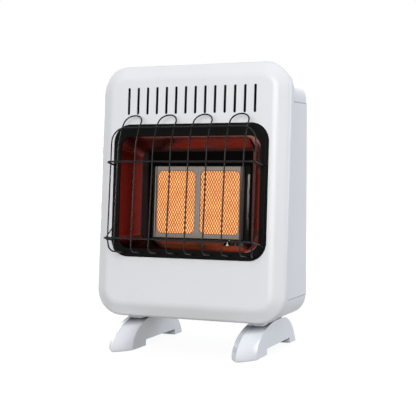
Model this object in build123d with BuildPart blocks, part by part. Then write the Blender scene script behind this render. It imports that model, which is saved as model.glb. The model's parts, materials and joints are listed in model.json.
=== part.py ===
from build123d import *

import os
from math import cos, radians, sin

# Infrared propane room heater on sled feet, as an assembly of separate pieces.
#
# Millimetres. X runs to the right as seen from the front, Y to the back, Z up from the floor.
# The cabinet's front leans back, so what the front carries is drawn on the plane `front`,
# whose local x is X, local y climbs the leaning face and local z points out of it.

os.makedirs("parts", exist_ok=True)

# ---------------------------------------------------------------- driving dimensions
# cabinet
lean_angle = 4.2  # the front face leans back by this many degrees
front_foot = -97.0  # Y where the front face, carried down, meets the floor
back_face = 68.4  # Y of the cabinet's vertical back
sheet = 1.2  # painted steel of the cover and side panels
casing_sheet = 1.0

# front cover
cover_width = 390.0
cover_height = 485.0
cover_bottom = 64.0  # lower edge, measured up the leaning face
face_centre = cover_bottom + cover_height / 2  # heights up the face follow its middle
cover_depth = 30.0
cover_corner = 52.0
bevel_width = 25.0
bevel_depth = 13.0
bevel_face_round = 26.0
bevel_side_round = 9.0
louver_count = 14
louver_pitch = 20.1
louver_width = 5.0
louver_length = 52.5
louver_centre = face_centre + 172.5
cover_screw_pitch = 156.0
cover_screw_inset = 16.0  # the two top screws, below the cover's upper edge
top_screw_spacing = 200.0

# back casing
casing_width = cover_width - 16.0
casing_bottom = 65.0
casing_top = cover_bottom + cover_height - 31.0
casing_corner = 39.0
casing_edge_round = 3.0
panel_bottom = casing_bottom + 39.7
panel_top = casing_top - 45.9
panel_clearance = 0.3  # cover rim to side panels, and flange to cover wall
seam_inset = 3.0  # the side panels stop this far short of the back face
wall_hole_spacing = 310.0
wall_hole_radius = 4.0
wall_hole_height = casing_top - 66.0
back_slot_count = 11
back_slot_pitch = 16.0
back_slot_width = 4.0
back_slot_length = 34.0
back_slot_height = casing_top - 42.0
floor_slot_count = 9
floor_slot_pitch = 18.0
floor_slot_width = 4.5
floor_slot_length = 46.0

# bezel and reflector
bezel_width = cover_width - 70.0
bezel_height = 255.0
bezel_corner = 35.0
bezel_rise = 3.0
bezel_rim = 4.0  # low outer rim round the raised ring
bezel_rim_rise = 1.2
bezel_skin = 0.8  # left in front of the blind screw holes
mouth_edge_round = 1.5
bezel_edge_round = 1.2
mouth_width = bezel_width - 30.0
mouth_height = bezel_height - 40.0
mouth_drop = 4.0  # the mouth's centre lies this far below the bezel's centre
mouth_corner = 24.0
lip_wall = 2.5
lip_clearance = 0.5  # the bezel's lip to the cover's opening
bezel_screw_offset = 8.5  # outside the mouth
reflector_sheet = 1.0
reflector_back = 47.0  # depth of the reflector's back plate
reflector_back_drop = 7.0
reflector_back_corner = 12.0
reflector_flange = 12.0
well_side_gap = 15.0  # between the burner and the walls of its well
well_end_gap = 4.0
well_side_border = 14.0  # back plate outside the well
well_end_border = 12.5
well_depth = 18.0
well_flange = 14.0

# burner
burner_width = 184.0
burner_height = 138.0
burner_centre = face_centre - 19.5
burner_proud = 1.4  # the burner's face stands this far in front of the reflector's back plate
frame_sheet = 1.0
frame_skirt = 9.0
window_gap = 12.0
window_side_margin = 6.0
window_end_margin = 9.0
window_corner = 9.0
seam_width = 0.9  # groove between the two halves of the face frame
pan_clearance = 0.1
plaque_side_clearance = 0.4
plaque_end_clearance = 1.4
plaque_thickness = 13.0
plaque_gap = 1.0
gasket_thickness = 1.5
pan_step = 5.5  # the pan steps in behind the plaques and holds them
pan_depth = 38.0
mount_plate_sheet = 1.5
mount_plate_clearance = 0.5  # round the pan's throat
plate_screw_inset = 7.0
ear_width = 19.0
ear_height = 60.0
ear_screw_reach = 7.0  # outside the burner
ear_screw_inset = 8.0
mixing_radius = 11.0
mixing_wall = 1.0
mixing_gap = 14.4  # from the pan's back to the tube's centre line
mixing_drop = 30.0  # below the burner's centre
mixing_left = 22.0 - burner_width / 2
mixing_right = burner_width / 2 - 36.0
bell_radius = 14.0
bell_length = 10.0

# guard
rail_radius = 1.75
guard_wire_radius = 1.4
stay_radius = 1.2
rail_half_span = bezel_width / 2 - 9.2
rail_socket_half_span = bezel_width / 2 - 7.0
rail_corner = 9.0
upper_rail_height = face_centre + 52.1
upper_rail_reach = 46.6
upper_socket_height = face_centre + 47.0
lower_rail_height = face_centre - 92.2
lower_rail_reach = 51.7
lower_socket_height = face_centre - 98.1
hairpin_count = 4
hairpin_margin = 22.7  # the outermost upright wires stand this far inside the rails' ends
hairpin_foot_height = face_centre - 119.0
hairpin_bend_height = face_centre + 81.5
hairpin_top_height = face_centre + 142.8
hairpin_top_reach = 12.0
shoulder_height = face_centre + 118.5
shoulder_reach = 29.5
perimeter_half_width = rail_half_span - 3.3
perimeter_top = face_centre + 117.5
perimeter_top_reach = 33.6
perimeter_corner = 28.0
perimeter_foot = perimeter_half_width - 11.5
perimeter_foot_height = face_centre - 120.5
perimeter_low_height = lower_rail_height - 1.3
perimeter_low_reach = 39.0
stay_foot_height = face_centre - 68.5
socket_clearance = 0.2
weld_gap = 0.05  # wires that are welded together all but touch

# feet
foot_spacing = casing_width - 120.0
foot_length = 269.0
foot_front = -134.5
foot_half_width = 21.75
foot_tail_half_width = 16.5
foot_top = 58.0
foot_wall = 3.0
toe_end = -40.0
heel_start = 98.0
heel_inside = 27.0  # length of the heel's open underside
arch_height = 11.5
pad_front = -50.0
pad_back = 58.0
pad_width = 30.0
pad_corner = 4.0
pad_screw_inset = 16.0

# controls
knob_x = casing_width / 2 - 72.0
control_y = back_face - 30.4
knob_radius = 20.0
knob_height = 18.5
knob_travel = 4.0
stem_radius = 4.0
valve_width = 40.0
valve_depth = 40.0
valve_height = 35.5
valve_boss_radius = 11.0
valve_bore_radius = 7.0
valve_corner = 4.0
bracket_height = casing_top - 68.0
bracket_sheet = 1.5
igniter_x = knob_x - 53.0
igniter_radius = 9.0
igniter_neck_radius = 7.0
igniter_travel = 5.0
button_radius = 5.0
dial_sheet = 1.2
running_clearance = 0.05
stem_hole = 6.0  # radius of the hole in the roof that the valve's stem passes through

# gas train
inlet_x = casing_width / 2 - 77.0
inlet_z = casing_bottom + 60.0
flare_radius = 7.9375  # 5/8 inch flare thread for 3/8 inch tube
flare_length = 14.0
regulator_radius = 27.0
supply_tube_radius = 4.75
burner_tube_radius = 4.0
pilot_tube_radius = 2.4
lead_radius = 1.5

# fasteners
m3 = 1.5
m4 = 2.0
m5 = 2.5
m3_head = 2.5
m3_head_height = 1.8
m4_head = 3.8
m4_head_height = 2.4
m5_head = 4.6
m5_head_height = 3.0
hole_clearance = 0.2
thin_screw = 4.0  # shank lengths
sheet_screw = 6.0
foot_screw = 15.0
through = 1.0  # cutters reach this far past what they cut

# ---------------------------------------------------------------- shared geometry
lean = radians(lean_angle)
front = Plane(origin=(0, front_foot, 0), x_dir=(1, 0, 0), z_dir=(0, -cos(lean), sin(lean)))
mouth_centre = face_centre - mouth_drop
casing_centre = (casing_bottom + casing_top) / 2
casing_height = casing_top - casing_bottom
casing_back_inside = back_face - casing_sheet
burner_face = reflector_back - burner_proud
burner_back = burner_face + frame_sheet + pan_depth
mixing_depth = burner_back + mixing_gap
pan_width = burner_width - 2 * (frame_sheet + pan_clearance)
pan_height = burner_height - 2 * (frame_sheet + pan_clearance)
pan_inner_width = pan_width - 2 * frame_sheet
pan_inner_height = pan_height - 2 * frame_sheet
plaque_width = (pan_inner_width - plaque_gap) / 2 - plaque_side_clearance
plaque_height = pan_inner_height - 2 * plaque_end_clearance
window_width = (burner_width - window_gap) / 2 - window_side_margin
window_height = burner_height - 2 * window_end_margin
well_width = burner_width + 2 * well_side_gap
well_height = burner_height + 2 * well_end_gap
well_foot = burner_centre - well_height / 2
reflector_back_width = well_width + 2 * well_side_border
reflector_back_height = well_height + 2 * well_end_border
well_back = reflector_back + reflector_sheet + well_depth
plate_face = well_back + reflector_sheet
outside = Axis(front.origin, front.z_dir)


def at(across, height, forward):
    """Point on the leaning frame: across, up the face and forward of it."""
    return front.from_local_coords(Vector(across, height, forward))


def on_face(height, depth):
    """Height up the leaning face of a level height above the floor, at a depth behind the face."""
    return (height + depth * sin(lean)) / cos(lean)


def rod(points, bends, radius, bore=0):
    """Round wire or tube along straight runs joined by tangent arcs."""
    with BuildPart() as blank:
        with BuildLine() as route:
            FilletPolyline(*points, radius=bends)
        with BuildSketch(route.line ^ 0):
            Circle(radius)
            if bore:
                Circle(bore, mode=Mode.SUBTRACT)
        sweep()
    return blank.part


def screw(plane, spots, radius, length, head_radius, head_height):
    """Cross-head screws: heads stand on the plane, shanks go down through it."""
    with BuildPart() as group:
        with BuildSketch(plane):
            with Locations(*spots):
                Circle(head_radius)
        extrude(amount=head_height)
        with BuildSketch(plane):
            with Locations(*spots):
                Circle(radius)
        extrude(amount=-length)
        with BuildSketch(plane.offset(head_height)):
            with Locations(*spots):
                Rectangle(head_radius, head_radius / 4)
                Rectangle(head_radius / 4, head_radius)
        extrude(amount=-head_height / 2, mode=Mode.SUBTRACT)
    return group.part


def turned_round(plane):
    """The same plane seen from behind: its normal and local x are reversed."""
    return Plane(origin=plane.origin, x_dir=-plane.x_dir, z_dir=-plane.z_dir)


def stack(plane, steps):
    """Coaxial cylinders, each given as radius, start and end along the plane's normal."""
    with BuildPart() as column:
        for radius, start, end in steps:
            with BuildSketch(plane.offset(start)):
                Circle(radius)
            extrude(amount=end - start)
    return column.part


def drill(plane, spots, radius, depth):
    """Cutters for round holes, sunk from the plane."""
    with BuildPart() as cutters:
        with BuildSketch(plane):
            with Locations(*spots):
                Circle(radius)
        extrude(amount=-depth)
    return cutters.part


def four_spots(across, centre, rise):
    """Four places: to both sides of the middle, below and above a height."""
    return [(side * across, centre + step * rise) for side in (-1, 1) for step in (-1, 1)]


# ---------------------------------------------------------------- fastener places
m3_hole = m3 + hole_clearance
m4_hole = m4 + hole_clearance
m5_hole = m5 + hole_clearance
cover_screw_x = cover_width / 2 - sheet - (cover_width / 2 - sheet - casing_width / 2 - sheet) / 2
cover_screw_spots = [
    (side * cover_screw_x, face_centre + step * cover_screw_pitch) for side in (-1, 1) for step in (-1, 0, 1)
]
cover_screw_spots += [
    (side * top_screw_spacing / 2, cover_bottom + cover_height - cover_screw_inset) for side in (-1, 1)
]
bezel_screw_x = mouth_width / 2 + bezel_screw_offset
bezel_screw_rise = 35.0
bezel_screw_spots = four_spots(bezel_screw_x, mouth_centre, bezel_screw_rise)
plate_screw_x = well_width / 2 + reflector_sheet + well_flange / 2
plate_screw_rise = well_height / 2 - plate_screw_inset
plate_screw_spots = four_spots(plate_screw_x, burner_centre, plate_screw_rise)
ear_screw_x = burner_width / 2 + ear_screw_reach
ear_screw_rise = ear_height / 2 - ear_screw_inset
ear_screw_spots = four_spots(ear_screw_x, burner_centre, ear_screw_rise)
shield_foot = casing_bottom + 115.0
shield_top = casing_top - 113.0
shield_half_width = casing_width / 2 - 47.0
shield_lip = 10.0
shield_screw_inset = 25.0
shield_screw_spots = four_spots(
    shield_half_width + shield_lip / 2,
    (shield_foot + shield_top) / 2,
    (shield_top - shield_foot) / 2 - shield_screw_inset,
)
bracket_left = igniter_x - 17.0
bracket_right = knob_x + 31.0
bracket_screw_drop = 16.0
bracket_screw_spots = [
    (x, bracket_height - bracket_screw_drop) for x in (bracket_left + 25.0, bracket_right - 18.0)
]
foot_screw_y = (pad_front + pad_screw_inset, pad_back - pad_screw_inset)
foot_screw_spots = [(side * foot_spacing / 2, y) for side in (-1, 1) for y in foot_screw_y]

# ---------------------------------------------------------------- front cover


def cover_form(inset):
    """Outer form of the pressed cover, drawn in on every side by inset."""
    with BuildPart() as form:
        with BuildSketch(front.offset(-cover_depth)):
            with Locations((0, face_centre)):
                RectangleRounded(cover_width - 2 * inset, cover_height - 2 * inset, cover_corner - inset)
        extrude(amount=cover_depth - inset)
        face = form.faces().sort_by(outside)[-1]
        chamfer(face.edges(), bevel_width, bevel_depth, reference=face)
        face = form.faces().sort_by(outside)[-1]
        fillet(face.edges(), bevel_face_round - inset)
        side_edges = form.edges().filter_by(
            lambda edge: abs(front.to_local_coords(edge.center()).Z + bevel_depth + inset) < 0.01
        )
        fillet(side_edges, bevel_side_round - inset)
    return form.part


def casing_outline_cutter(clearance, near, far):
    """Block with the casing's outline, grown by clearance, from one depth to another."""
    with BuildPart() as block:
        with BuildSketch(front.offset(-near)):
            with Locations((0, (on_face(casing_bottom, near) + on_face(casing_top, near)) / 2)):
                RectangleRounded(
                    casing_width + 2 * (sheet + clearance),
                    (casing_height + 2 * clearance) / cos(lean),
                    casing_corner,
                )
        extrude(amount=near - far)
    return block.part


with BuildPart() as front_cover:
    add(cover_form(0))
    add(cover_form(sheet), mode=Mode.SUBTRACT)
    with BuildSketch(front.offset(-cover_depth)):
        with Locations((0, face_centre)):
            RectangleRounded(cover_width - sheet, cover_height - sheet, cover_corner - sheet / 2)
    extrude(amount=sheet)
    add(
        casing_outline_cutter(panel_clearance, cover_depth - sheet - through, cover_depth + through),
        mode=Mode.SUBTRACT,
    )
    with BuildSketch(front.offset(through)):
        with Locations((0, mouth_centre)):
            RectangleRounded(
                mouth_width + 2 * (lip_wall + lip_clearance),
                mouth_height + 2 * (lip_wall + lip_clearance),
                mouth_corner + lip_wall,
            )
        with Locations((0, louver_centre)):
            with GridLocations(louver_pitch, 1, louver_count, 1):
                SlotOverall(louver_length, louver_width, rotation=90)
    extrude(amount=-sheet - 2 * through, mode=Mode.SUBTRACT)
    add(
        drill(front.offset(sheet + through - cover_depth), cover_screw_spots, m3_hole, sheet + 2 * through),
        mode=Mode.SUBTRACT,
    )
    add(drill(front.offset(through), bezel_screw_spots, m3_hole, sheet + 2 * through), mode=Mode.SUBTRACT)
front_cover.part.label = "front_cover"
export_step(front_cover.part, "parts/front_cover.step")

# ---------------------------------------------------------------- back casing and side panels
flange_depth = cover_depth - sheet  # the casing's flange lies against the cover's back rim
rear = Plane(origin=(0, back_face, 0), x_dir=(-1, 0, 0), z_dir=(0, 1, 0))
roof = Plane.XY.offset(casing_top)
side_edge = casing_width / 2


def casing_form(inset, start):
    """Casing block from a plane behind the back face, forward past the cover's rim."""
    with BuildPart() as form:
        with BuildSketch(rear.offset(-start)):
            with Locations((0, casing_centre)):
                RectangleRounded(
                    casing_width - 2 * inset, casing_height - 2 * inset, casing_corner - inset
                )
        extrude(amount=-(back_face - front_foot))
        split(bisect_by=front.offset(-flange_depth + inset), keep=Keep.BOTTOM)
    return form.part


with BuildPart() as back_casing:
    add(casing_form(0, 0))
    back_edges = back_casing.faces().sort_by(Axis.Y)[-1].edges()
    fillet(back_edges, casing_edge_round)
    with BuildSketch(front.offset(-flange_depth)):
        with Locations((0, face_centre)):
            RectangleRounded(
                cover_width - 2 * (sheet + panel_clearance),
                cover_height - 2 * (sheet + panel_clearance),
                cover_corner - sheet - panel_clearance,
            )
    extrude(amount=casing_sheet)
    add(casing_form(casing_sheet, casing_sheet), mode=Mode.SUBTRACT)
    with BuildSketch(rear.offset(through)):
        with Locations((0, back_slot_height)):
            with GridLocations(back_slot_pitch, 1, back_slot_count, 1):
                SlotOverall(back_slot_length, back_slot_width, rotation=90)
        with Locations((0, wall_hole_height)):
            with GridLocations(wall_hole_spacing, 1, 2, 1):
                Circle(wall_hole_radius)
        with Locations((-inlet_x, inlet_z)):
            Circle(flare_radius + hole_clearance)
        with Locations(*[(-x, z) for x, z in shield_screw_spots + bracket_screw_spots]):
            Circle(m4_hole)
    extrude(amount=-casing_sheet - 2 * through, mode=Mode.SUBTRACT)
    with BuildSketch(Plane.XY.offset(casing_bottom - through)):
        with GridLocations(floor_slot_pitch, 1, floor_slot_count, 1):
            SlotOverall(floor_slot_length, floor_slot_width, rotation=90)
        with Locations(*foot_screw_spots):
            Circle(m5_hole)
    extrude(amount=casing_sheet + 2 * through, mode=Mode.SUBTRACT)
    with BuildSketch(roof.offset(through)):
        with Locations((knob_x, control_y)):
            Circle(stem_hole)
        with Locations((igniter_x, control_y)):
            Circle(igniter_neck_radius + hole_clearance)
    extrude(amount=-casing_sheet - 2 * through, mode=Mode.SUBTRACT)
    add(
        drill(
            front.offset(casing_sheet + through - flange_depth),
            cover_screw_spots,
            m3_hole,
            casing_sheet + 2 * through,
        ),
        mode=Mode.SUBTRACT,
    )
back_casing.part.label = "back_casing"
export_step(back_casing.part, "parts/back_casing.step")


def side_panel_blank(side):
    """Flat sheet over one side of the casing, from the cover's rim to just short of the back."""
    with BuildPart() as blank:
        with BuildSketch(Plane.YZ.offset(side * side_edge)):
            with Locations(((front_foot + back_face - seam_inset) / 2, (panel_bottom + panel_top) / 2)):
                Rectangle(back_face - seam_inset - front_foot, panel_top - panel_bottom)
        extrude(amount=side * sheet)
        split(bisect_by=front.offset(-flange_depth), keep=Keep.BOTTOM)
    return blank.part


for side, name in ((-1, "side_panel_left"), (1, "side_panel_right")):
    with BuildPart() as side_panel:
        add(side_panel_blank(side))
    side_panel.part.label = name
    export_step(side_panel.part, f"parts/{name}.step")

# ---------------------------------------------------------------- bezel
raised_width = bezel_width - 2 * bezel_rim
raised_height = bezel_height - 2 * bezel_rim
raised_corner = bezel_corner - bezel_rim
rail_sockets = [
    (side * rail_socket_half_span, height)
    for side in (-1, 1)
    for height in (upper_socket_height, lower_socket_height)
]
rail_socket_radius = rail_radius + 2 * socket_clearance  # the rails leave the bezel at a slight slope
hairpin_wires = 2 * hairpin_count
hairpin_pitch = 2 * (rail_half_span - hairpin_margin) / (hairpin_wires - 1)
hairpin_across = [(index - (hairpin_wires - 1) / 2) * hairpin_pitch for index in range(hairpin_wires)]
hairpin_sockets = [(across, hairpin_foot_height) for across in hairpin_across]
perimeter_sockets = [(side * perimeter_foot, perimeter_foot_height) for side in (-1, 1)]
stay_across = rail_half_span - 1.3
stay_sockets = [(side * stay_across, stay_foot_height) for side in (-1, 1)]
socket_depth = 10.0  # cutters for the guard's sockets start this far in front of the cover

with BuildPart() as bezel:
    with BuildSketch(front):
        with Locations((0, face_centre)):
            RectangleRounded(bezel_width, bezel_height, bezel_corner)
    extrude(amount=bezel_rim_rise)
    with BuildSketch(front):
        with Locations((0, face_centre)):
            RectangleRounded(raised_width, raised_height, raised_corner)
    extrude(amount=bezel_rise)
    fillet(bezel.faces().sort_by(outside)[-1].edges(), bezel_edge_round)
    with BuildSketch(front.offset(-sheet)):
        with Locations((0, mouth_centre)):
            RectangleRounded(mouth_width + 2 * lip_wall, mouth_height + 2 * lip_wall, mouth_corner + lip_wall)
    extrude(amount=sheet)
    with BuildSketch(front.offset(-sheet)):
        with Locations((0, mouth_centre)):
            RectangleRounded(mouth_width, mouth_height, mouth_corner)
    extrude(amount=sheet + bezel_rise, mode=Mode.SUBTRACT)
    mouth_edges = bezel.faces().sort_by(outside)[-1].inner_wires()[0].edges()
    fillet(mouth_edges, mouth_edge_round)
    for spots, radius in (
        (rail_sockets, rail_socket_radius),
        (hairpin_sockets + perimeter_sockets, guard_wire_radius + socket_clearance),
        (stay_sockets, stay_radius + socket_clearance),
    ):
        add(drill(front.offset(socket_depth), spots, radius, socket_depth), mode=Mode.SUBTRACT)
    add(
        drill(front.offset(bezel_rise - bezel_skin), bezel_screw_spots, m3_hole, bezel_rise),
        mode=Mode.SUBTRACT,
    )
bezel.part.label = "bezel"
export_step(bezel.part, "parts/bezel.step")

# ---------------------------------------------------------------- reflector


def funnel(grow):
    """Tapered tub from the mouth to the back plate, grown by a wall."""
    with BuildPart() as tub:
        with BuildSketch(front.offset(-sheet)):
            with Locations((0, mouth_centre)):
                RectangleRounded(mouth_width + 2 * grow, mouth_height + 2 * grow, mouth_corner + grow)
        with BuildSketch(front.offset(-reflector_back)):
            with Locations((0, face_centre - reflector_back_drop)):
                RectangleRounded(
                    reflector_back_width + 2 * grow,
                    reflector_back_height + 2 * grow,
                    reflector_back_corner + grow,
                )
        loft(ruled=True)
    return tub.part


pilot_depth = 38.0  # behind the front face
pilot_slot_right = well_width / 2 - 5.0
pilot_slot_left = pilot_slot_right - 40.0
pilot_slot_near = pilot_depth - 11.0
pilot_slot_far = reflector_back - 1.5
pilot_slot_foot = well_foot - well_flange
pilot_slot_rise = 18.0

with BuildPart() as reflector:
    with BuildSketch(front.offset(-sheet)):
        with Locations((0, mouth_centre)):
            RectangleRounded(
                mouth_width + 2 * reflector_flange, mouth_height + 2 * reflector_flange, mouth_corner
            )
    extrude(amount=-reflector_sheet)
    add(funnel(reflector_sheet))
    with BuildSketch(front.offset(-reflector_back)):
        with Locations((0, face_centre - reflector_back_drop)):
            RectangleRounded(
                reflector_back_width + 2 * reflector_sheet,
                reflector_back_height + 2 * reflector_sheet,
                reflector_back_corner + reflector_sheet,
            )
    extrude(amount=-reflector_sheet)
    with BuildSketch(front.offset(-reflector_back)):
        with Locations((0, burner_centre)):
            Rectangle(well_width + 2 * reflector_sheet, well_height + 2 * reflector_sheet)
    extrude(amount=reflector_back - plate_face)
    with BuildSketch(front.offset(-well_back)):
        with Locations((0, burner_centre)):
            Rectangle(
                well_width + 2 * (reflector_sheet + well_flange),
                well_height + 2 * (reflector_sheet + well_flange),
            )
    extrude(amount=-reflector_sheet)
    add(funnel(0), mode=Mode.SUBTRACT)
    with BuildSketch(front.offset(-reflector_back)):
        with Locations((0, burner_centre)):
            Rectangle(well_width, well_height)
    extrude(amount=reflector_back - plate_face - through, mode=Mode.SUBTRACT)
    with BuildSketch(Plane(at(0, 0, 0), x_dir=(1, 0, 0), z_dir=front.y_dir).offset(pilot_slot_foot)):
        with Locations(((pilot_slot_left + pilot_slot_right) / 2, (pilot_slot_near + pilot_slot_far) / 2)):
            Rectangle(pilot_slot_right - pilot_slot_left, pilot_slot_far - pilot_slot_near)
    extrude(amount=pilot_slot_rise, mode=Mode.SUBTRACT)
    add(drill(front, bezel_screw_spots, m3_hole, sheet + reflector_sheet + through), mode=Mode.SUBTRACT)
    add(
        drill(front.offset(through - well_back), plate_screw_spots, m4_hole, reflector_sheet + 2 * through),
        mode=Mode.SUBTRACT,
    )
reflector.part.label = "reflector"
export_step(reflector.part, "parts/reflector.step")

# ---------------------------------------------------------------- burner
window_spots = [(side * (window_gap + window_width) / 2, burner_centre) for side in (-1, 1)]
throat_width = pan_inner_width - 2 * pan_step
throat_height = pan_inner_height - 2 * pan_step
frame_back = burner_face + frame_sheet
plaque_face = frame_back + gasket_thickness
plaque_back = plaque_face + plaque_thickness


def slab(width, height, near, far, centre=burner_centre):
    """Square-cornered block across the leaning frame, from one depth to another."""
    with BuildPart() as block:
        with BuildSketch(front.offset(-near)):
            with Locations((0, centre)):
                Rectangle(width, height)
        extrude(amount=near - far)
    return block.part


with BuildPart() as burner_face_frame:
    add(slab(burner_width, burner_height, burner_face, burner_face + frame_skirt))
    add(
        slab(
            burner_width - 2 * frame_sheet,
            burner_height - 2 * frame_sheet,
            frame_back,
            burner_face + frame_skirt,
        ),
        mode=Mode.SUBTRACT,
    )
    with BuildSketch(front.offset(-burner_face)):
        with Locations(*window_spots):
            RectangleRounded(window_width, window_height, window_corner)
    extrude(amount=-frame_sheet, mode=Mode.SUBTRACT)
    with BuildSketch(front.offset(-burner_face)):
        with Locations((0, burner_centre)):
            Rectangle(seam_width, burner_height)
    extrude(amount=-frame_sheet / 2, mode=Mode.SUBTRACT)
burner_face_frame.part.label = "burner_face_frame"
export_step(burner_face_frame.part, "parts/burner_face_frame.step")

gasket_lap = 1.0  # the gasket's openings clear the frame's windows by this much

with BuildPart() as plaque_gasket:
    add(
        slab(
            pan_inner_width - 2 * pan_clearance,
            pan_inner_height - 2 * pan_clearance,
            frame_back,
            plaque_face,
        )
    )
    with BuildSketch(front.offset(-frame_back)):
        with Locations(*window_spots):
            RectangleRounded(window_width + 2 * gasket_lap, window_height + 2 * gasket_lap, window_corner)
    extrude(amount=-gasket_thickness, mode=Mode.SUBTRACT)
plaque_gasket.part.label = "plaque_gasket"
export_step(plaque_gasket.part, "parts/plaque_gasket.step")

for side, name in ((-1, "ceramic_plaque_left"), (1, "ceramic_plaque_right")):
    with BuildPart() as ceramic_plaque:
        with BuildSketch(front.offset(-plaque_face)):
            with Locations((side * (plaque_gap + plaque_width) / 2, burner_centre)):
                Rectangle(plaque_width, plaque_height)
        extrude(amount=-plaque_thickness)
    ceramic_plaque.part.label = name
    export_step(ceramic_plaque.part, f"parts/{name}.step")

mixing_plane = Plane(
    origin=at(mixing_left, burner_centre - mixing_drop, -mixing_depth),
    x_dir=front.y_dir,
    z_dir=(1, 0, 0),
)
port_width = 30.0  # duct between the mixing tube and the pan
port_height = 16.0
port_centre = mixing_left + port_width / 2 + mixing_wall

with BuildPart() as burner_box:
    add(slab(pan_width, pan_height, frame_back, plaque_back + frame_sheet))
    add(slab(throat_width + 2 * frame_sheet, throat_height + 2 * frame_sheet, plaque_back, burner_back))
    add(slab(throat_width + 2 * ear_width, ear_height, plate_face - frame_sheet, plate_face))
    add(slab(pan_inner_width, pan_inner_height, frame_back, plaque_back), mode=Mode.SUBTRACT)
    add(slab(throat_width, throat_height, plaque_back, burner_back - frame_sheet), mode=Mode.SUBTRACT)
    with BuildSketch(front.offset(-burner_back)):
        with Locations((port_centre, burner_centre - mixing_drop)):
            Rectangle(port_width - 2 * mixing_wall, port_height - 2 * mixing_wall)
    extrude(amount=frame_sheet, mode=Mode.SUBTRACT)
    add(
        drill(
            front.offset(through + frame_sheet - plate_face),
            ear_screw_spots,
            m4_hole,
            frame_sheet + 2 * through,
        ),
        mode=Mode.SUBTRACT,
    )
burner_box.part.label = "burner_box"
export_step(burner_box.part, "parts/burner_box.step")

with BuildPart() as burner_mount_plate:
    add(
        slab(
            well_width + 2 * (reflector_sheet + well_flange),
            well_height + 2 * (reflector_sheet + well_flange),
            plate_face,
            plate_face + mount_plate_sheet,
        )
    )
    add(
        slab(
            throat_width + 2 * (frame_sheet + mount_plate_clearance),
            throat_height + 2 * (frame_sheet + mount_plate_clearance),
            plate_face,
            plate_face + mount_plate_sheet,
        ),
        mode=Mode.SUBTRACT,
    )
    add(
        drill(
            front.offset(through - plate_face),
            plate_screw_spots + ear_screw_spots,
            m4_hole,
            mount_plate_sheet + 2 * through,
        ),
        mode=Mode.SUBTRACT,
    )
burner_mount_plate.part.label = "burner_mount_plate"
export_step(burner_mount_plate.part, "parts/burner_mount_plate.step")

mixing_length = mixing_right - mixing_left

with BuildPart() as mixing_tube:
    with BuildSketch(mixing_plane):
        Circle(mixing_radius)
    extrude(amount=mixing_length)
    with BuildSketch(mixing_plane.offset(mixing_length)):
        Circle(mixing_radius)
    with BuildSketch(mixing_plane.offset(mixing_length + bell_length)):
        Circle(bell_radius)
    loft()
    with BuildSketch(front.offset(-burner_back)):
        with Locations((port_centre, burner_centre - mixing_drop)):
            Rectangle(port_width, port_height)
    extrude(amount=burner_back - mixing_depth)
    with BuildSketch(front.offset(-burner_back)):
        with Locations((port_centre, burner_centre - mixing_drop)):
            Rectangle(port_width - 2 * mixing_wall, port_height - 2 * mixing_wall)
    extrude(amount=burner_back - mixing_depth, mode=Mode.SUBTRACT)
    with BuildSketch(mixing_plane.offset(mixing_wall)):
        Circle(mixing_radius - mixing_wall)
    extrude(amount=mixing_length - mixing_wall, mode=Mode.SUBTRACT)
    with BuildSketch(mixing_plane.offset(mixing_length)):
        Circle(mixing_radius - mixing_wall)
    with BuildSketch(mixing_plane.offset(mixing_length + bell_length)):
        Circle(bell_radius - mixing_wall)
    loft(mode=Mode.SUBTRACT)
mixing_tube.part.label = "mixing_tube"
export_step(mixing_tube.part, "parts/mixing_tube.step")

# the orifice holder's axis is the mixing tube's axis; distances run along it from the tube's left end
orifice_gap = 6.0  # from the bell's mouth to the orifice bracket
bracket_start = mixing_length + bell_length + orifice_gap
holder_radius = 6.0
holder_hex = 8.0
orifice_bracket_half = 17.0
orifice_bracket_tail = 14.0

with BuildPart() as orifice_bracket:
    with BuildSketch(mixing_plane.offset(bracket_start)):
        with Locations((0, (mixing_depth - burner_back) / 2 - orifice_bracket_half / 2)):
            Rectangle(2 * orifice_bracket_half, mixing_depth - burner_back + orifice_bracket_half)
        Circle(holder_radius + pan_clearance, mode=Mode.SUBTRACT)
    extrude(amount=frame_sheet)
    with BuildSketch(front.offset(-burner_back)):
        with Locations((mixing_left + bracket_start + orifice_bracket_tail / 2, burner_centre - mixing_drop)):
            Rectangle(orifice_bracket_tail, 2 * orifice_bracket_half)
    extrude(amount=-frame_sheet)
orifice_bracket.part.label = "orifice_bracket"
export_step(orifice_bracket.part, "parts/orifice_bracket.step")

nozzle_length = 6.0
holder_length = 18.0
tube_socket = 8.0

with BuildPart() as orifice_holder:
    with BuildSketch(mixing_plane.offset(bracket_start - nozzle_length)):
        Circle(holder_radius)
    extrude(amount=nozzle_length + holder_length)
    with BuildSketch(mixing_plane.offset(bracket_start + frame_sheet)):
        RegularPolygon(holder_hex, 6)
    extrude(amount=holder_length / 2)
    with BuildSketch(mixing_plane.offset(bracket_start - 2 * nozzle_length)):
        Circle(holder_radius / 2)
    extrude(amount=nozzle_length)
    with BuildSketch(mixing_plane.offset(bracket_start + holder_length - tube_socket)):
        Circle(burner_tube_radius + pan_clearance)
    extrude(amount=tube_socket, mode=Mode.SUBTRACT)
    with BuildSketch(mixing_plane.offset(bracket_start - 2 * nozzle_length)):
        Circle(holder_radius / 6)
    extrude(amount=holder_length + nozzle_length, mode=Mode.SUBTRACT)
orifice_holder.part.label = "orifice_holder"
export_step(orifice_holder.part, "parts/orifice_holder.step")

# ---------------------------------------------------------------- wire guard
wire_seat = bezel_rise / 10  # wire ends stop this far above the cover's face
wire_lap = rail_radius + guard_wire_radius + weld_gap
hairpin_slope = (upper_rail_reach - lower_rail_reach) / (upper_rail_height - lower_rail_height)


def hairpin_reach(height):
    """How far forward the hairpin wires stand, so that they lie just behind both rails."""
    return lower_rail_reach - wire_lap + hairpin_slope * (height - lower_rail_height)


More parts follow.
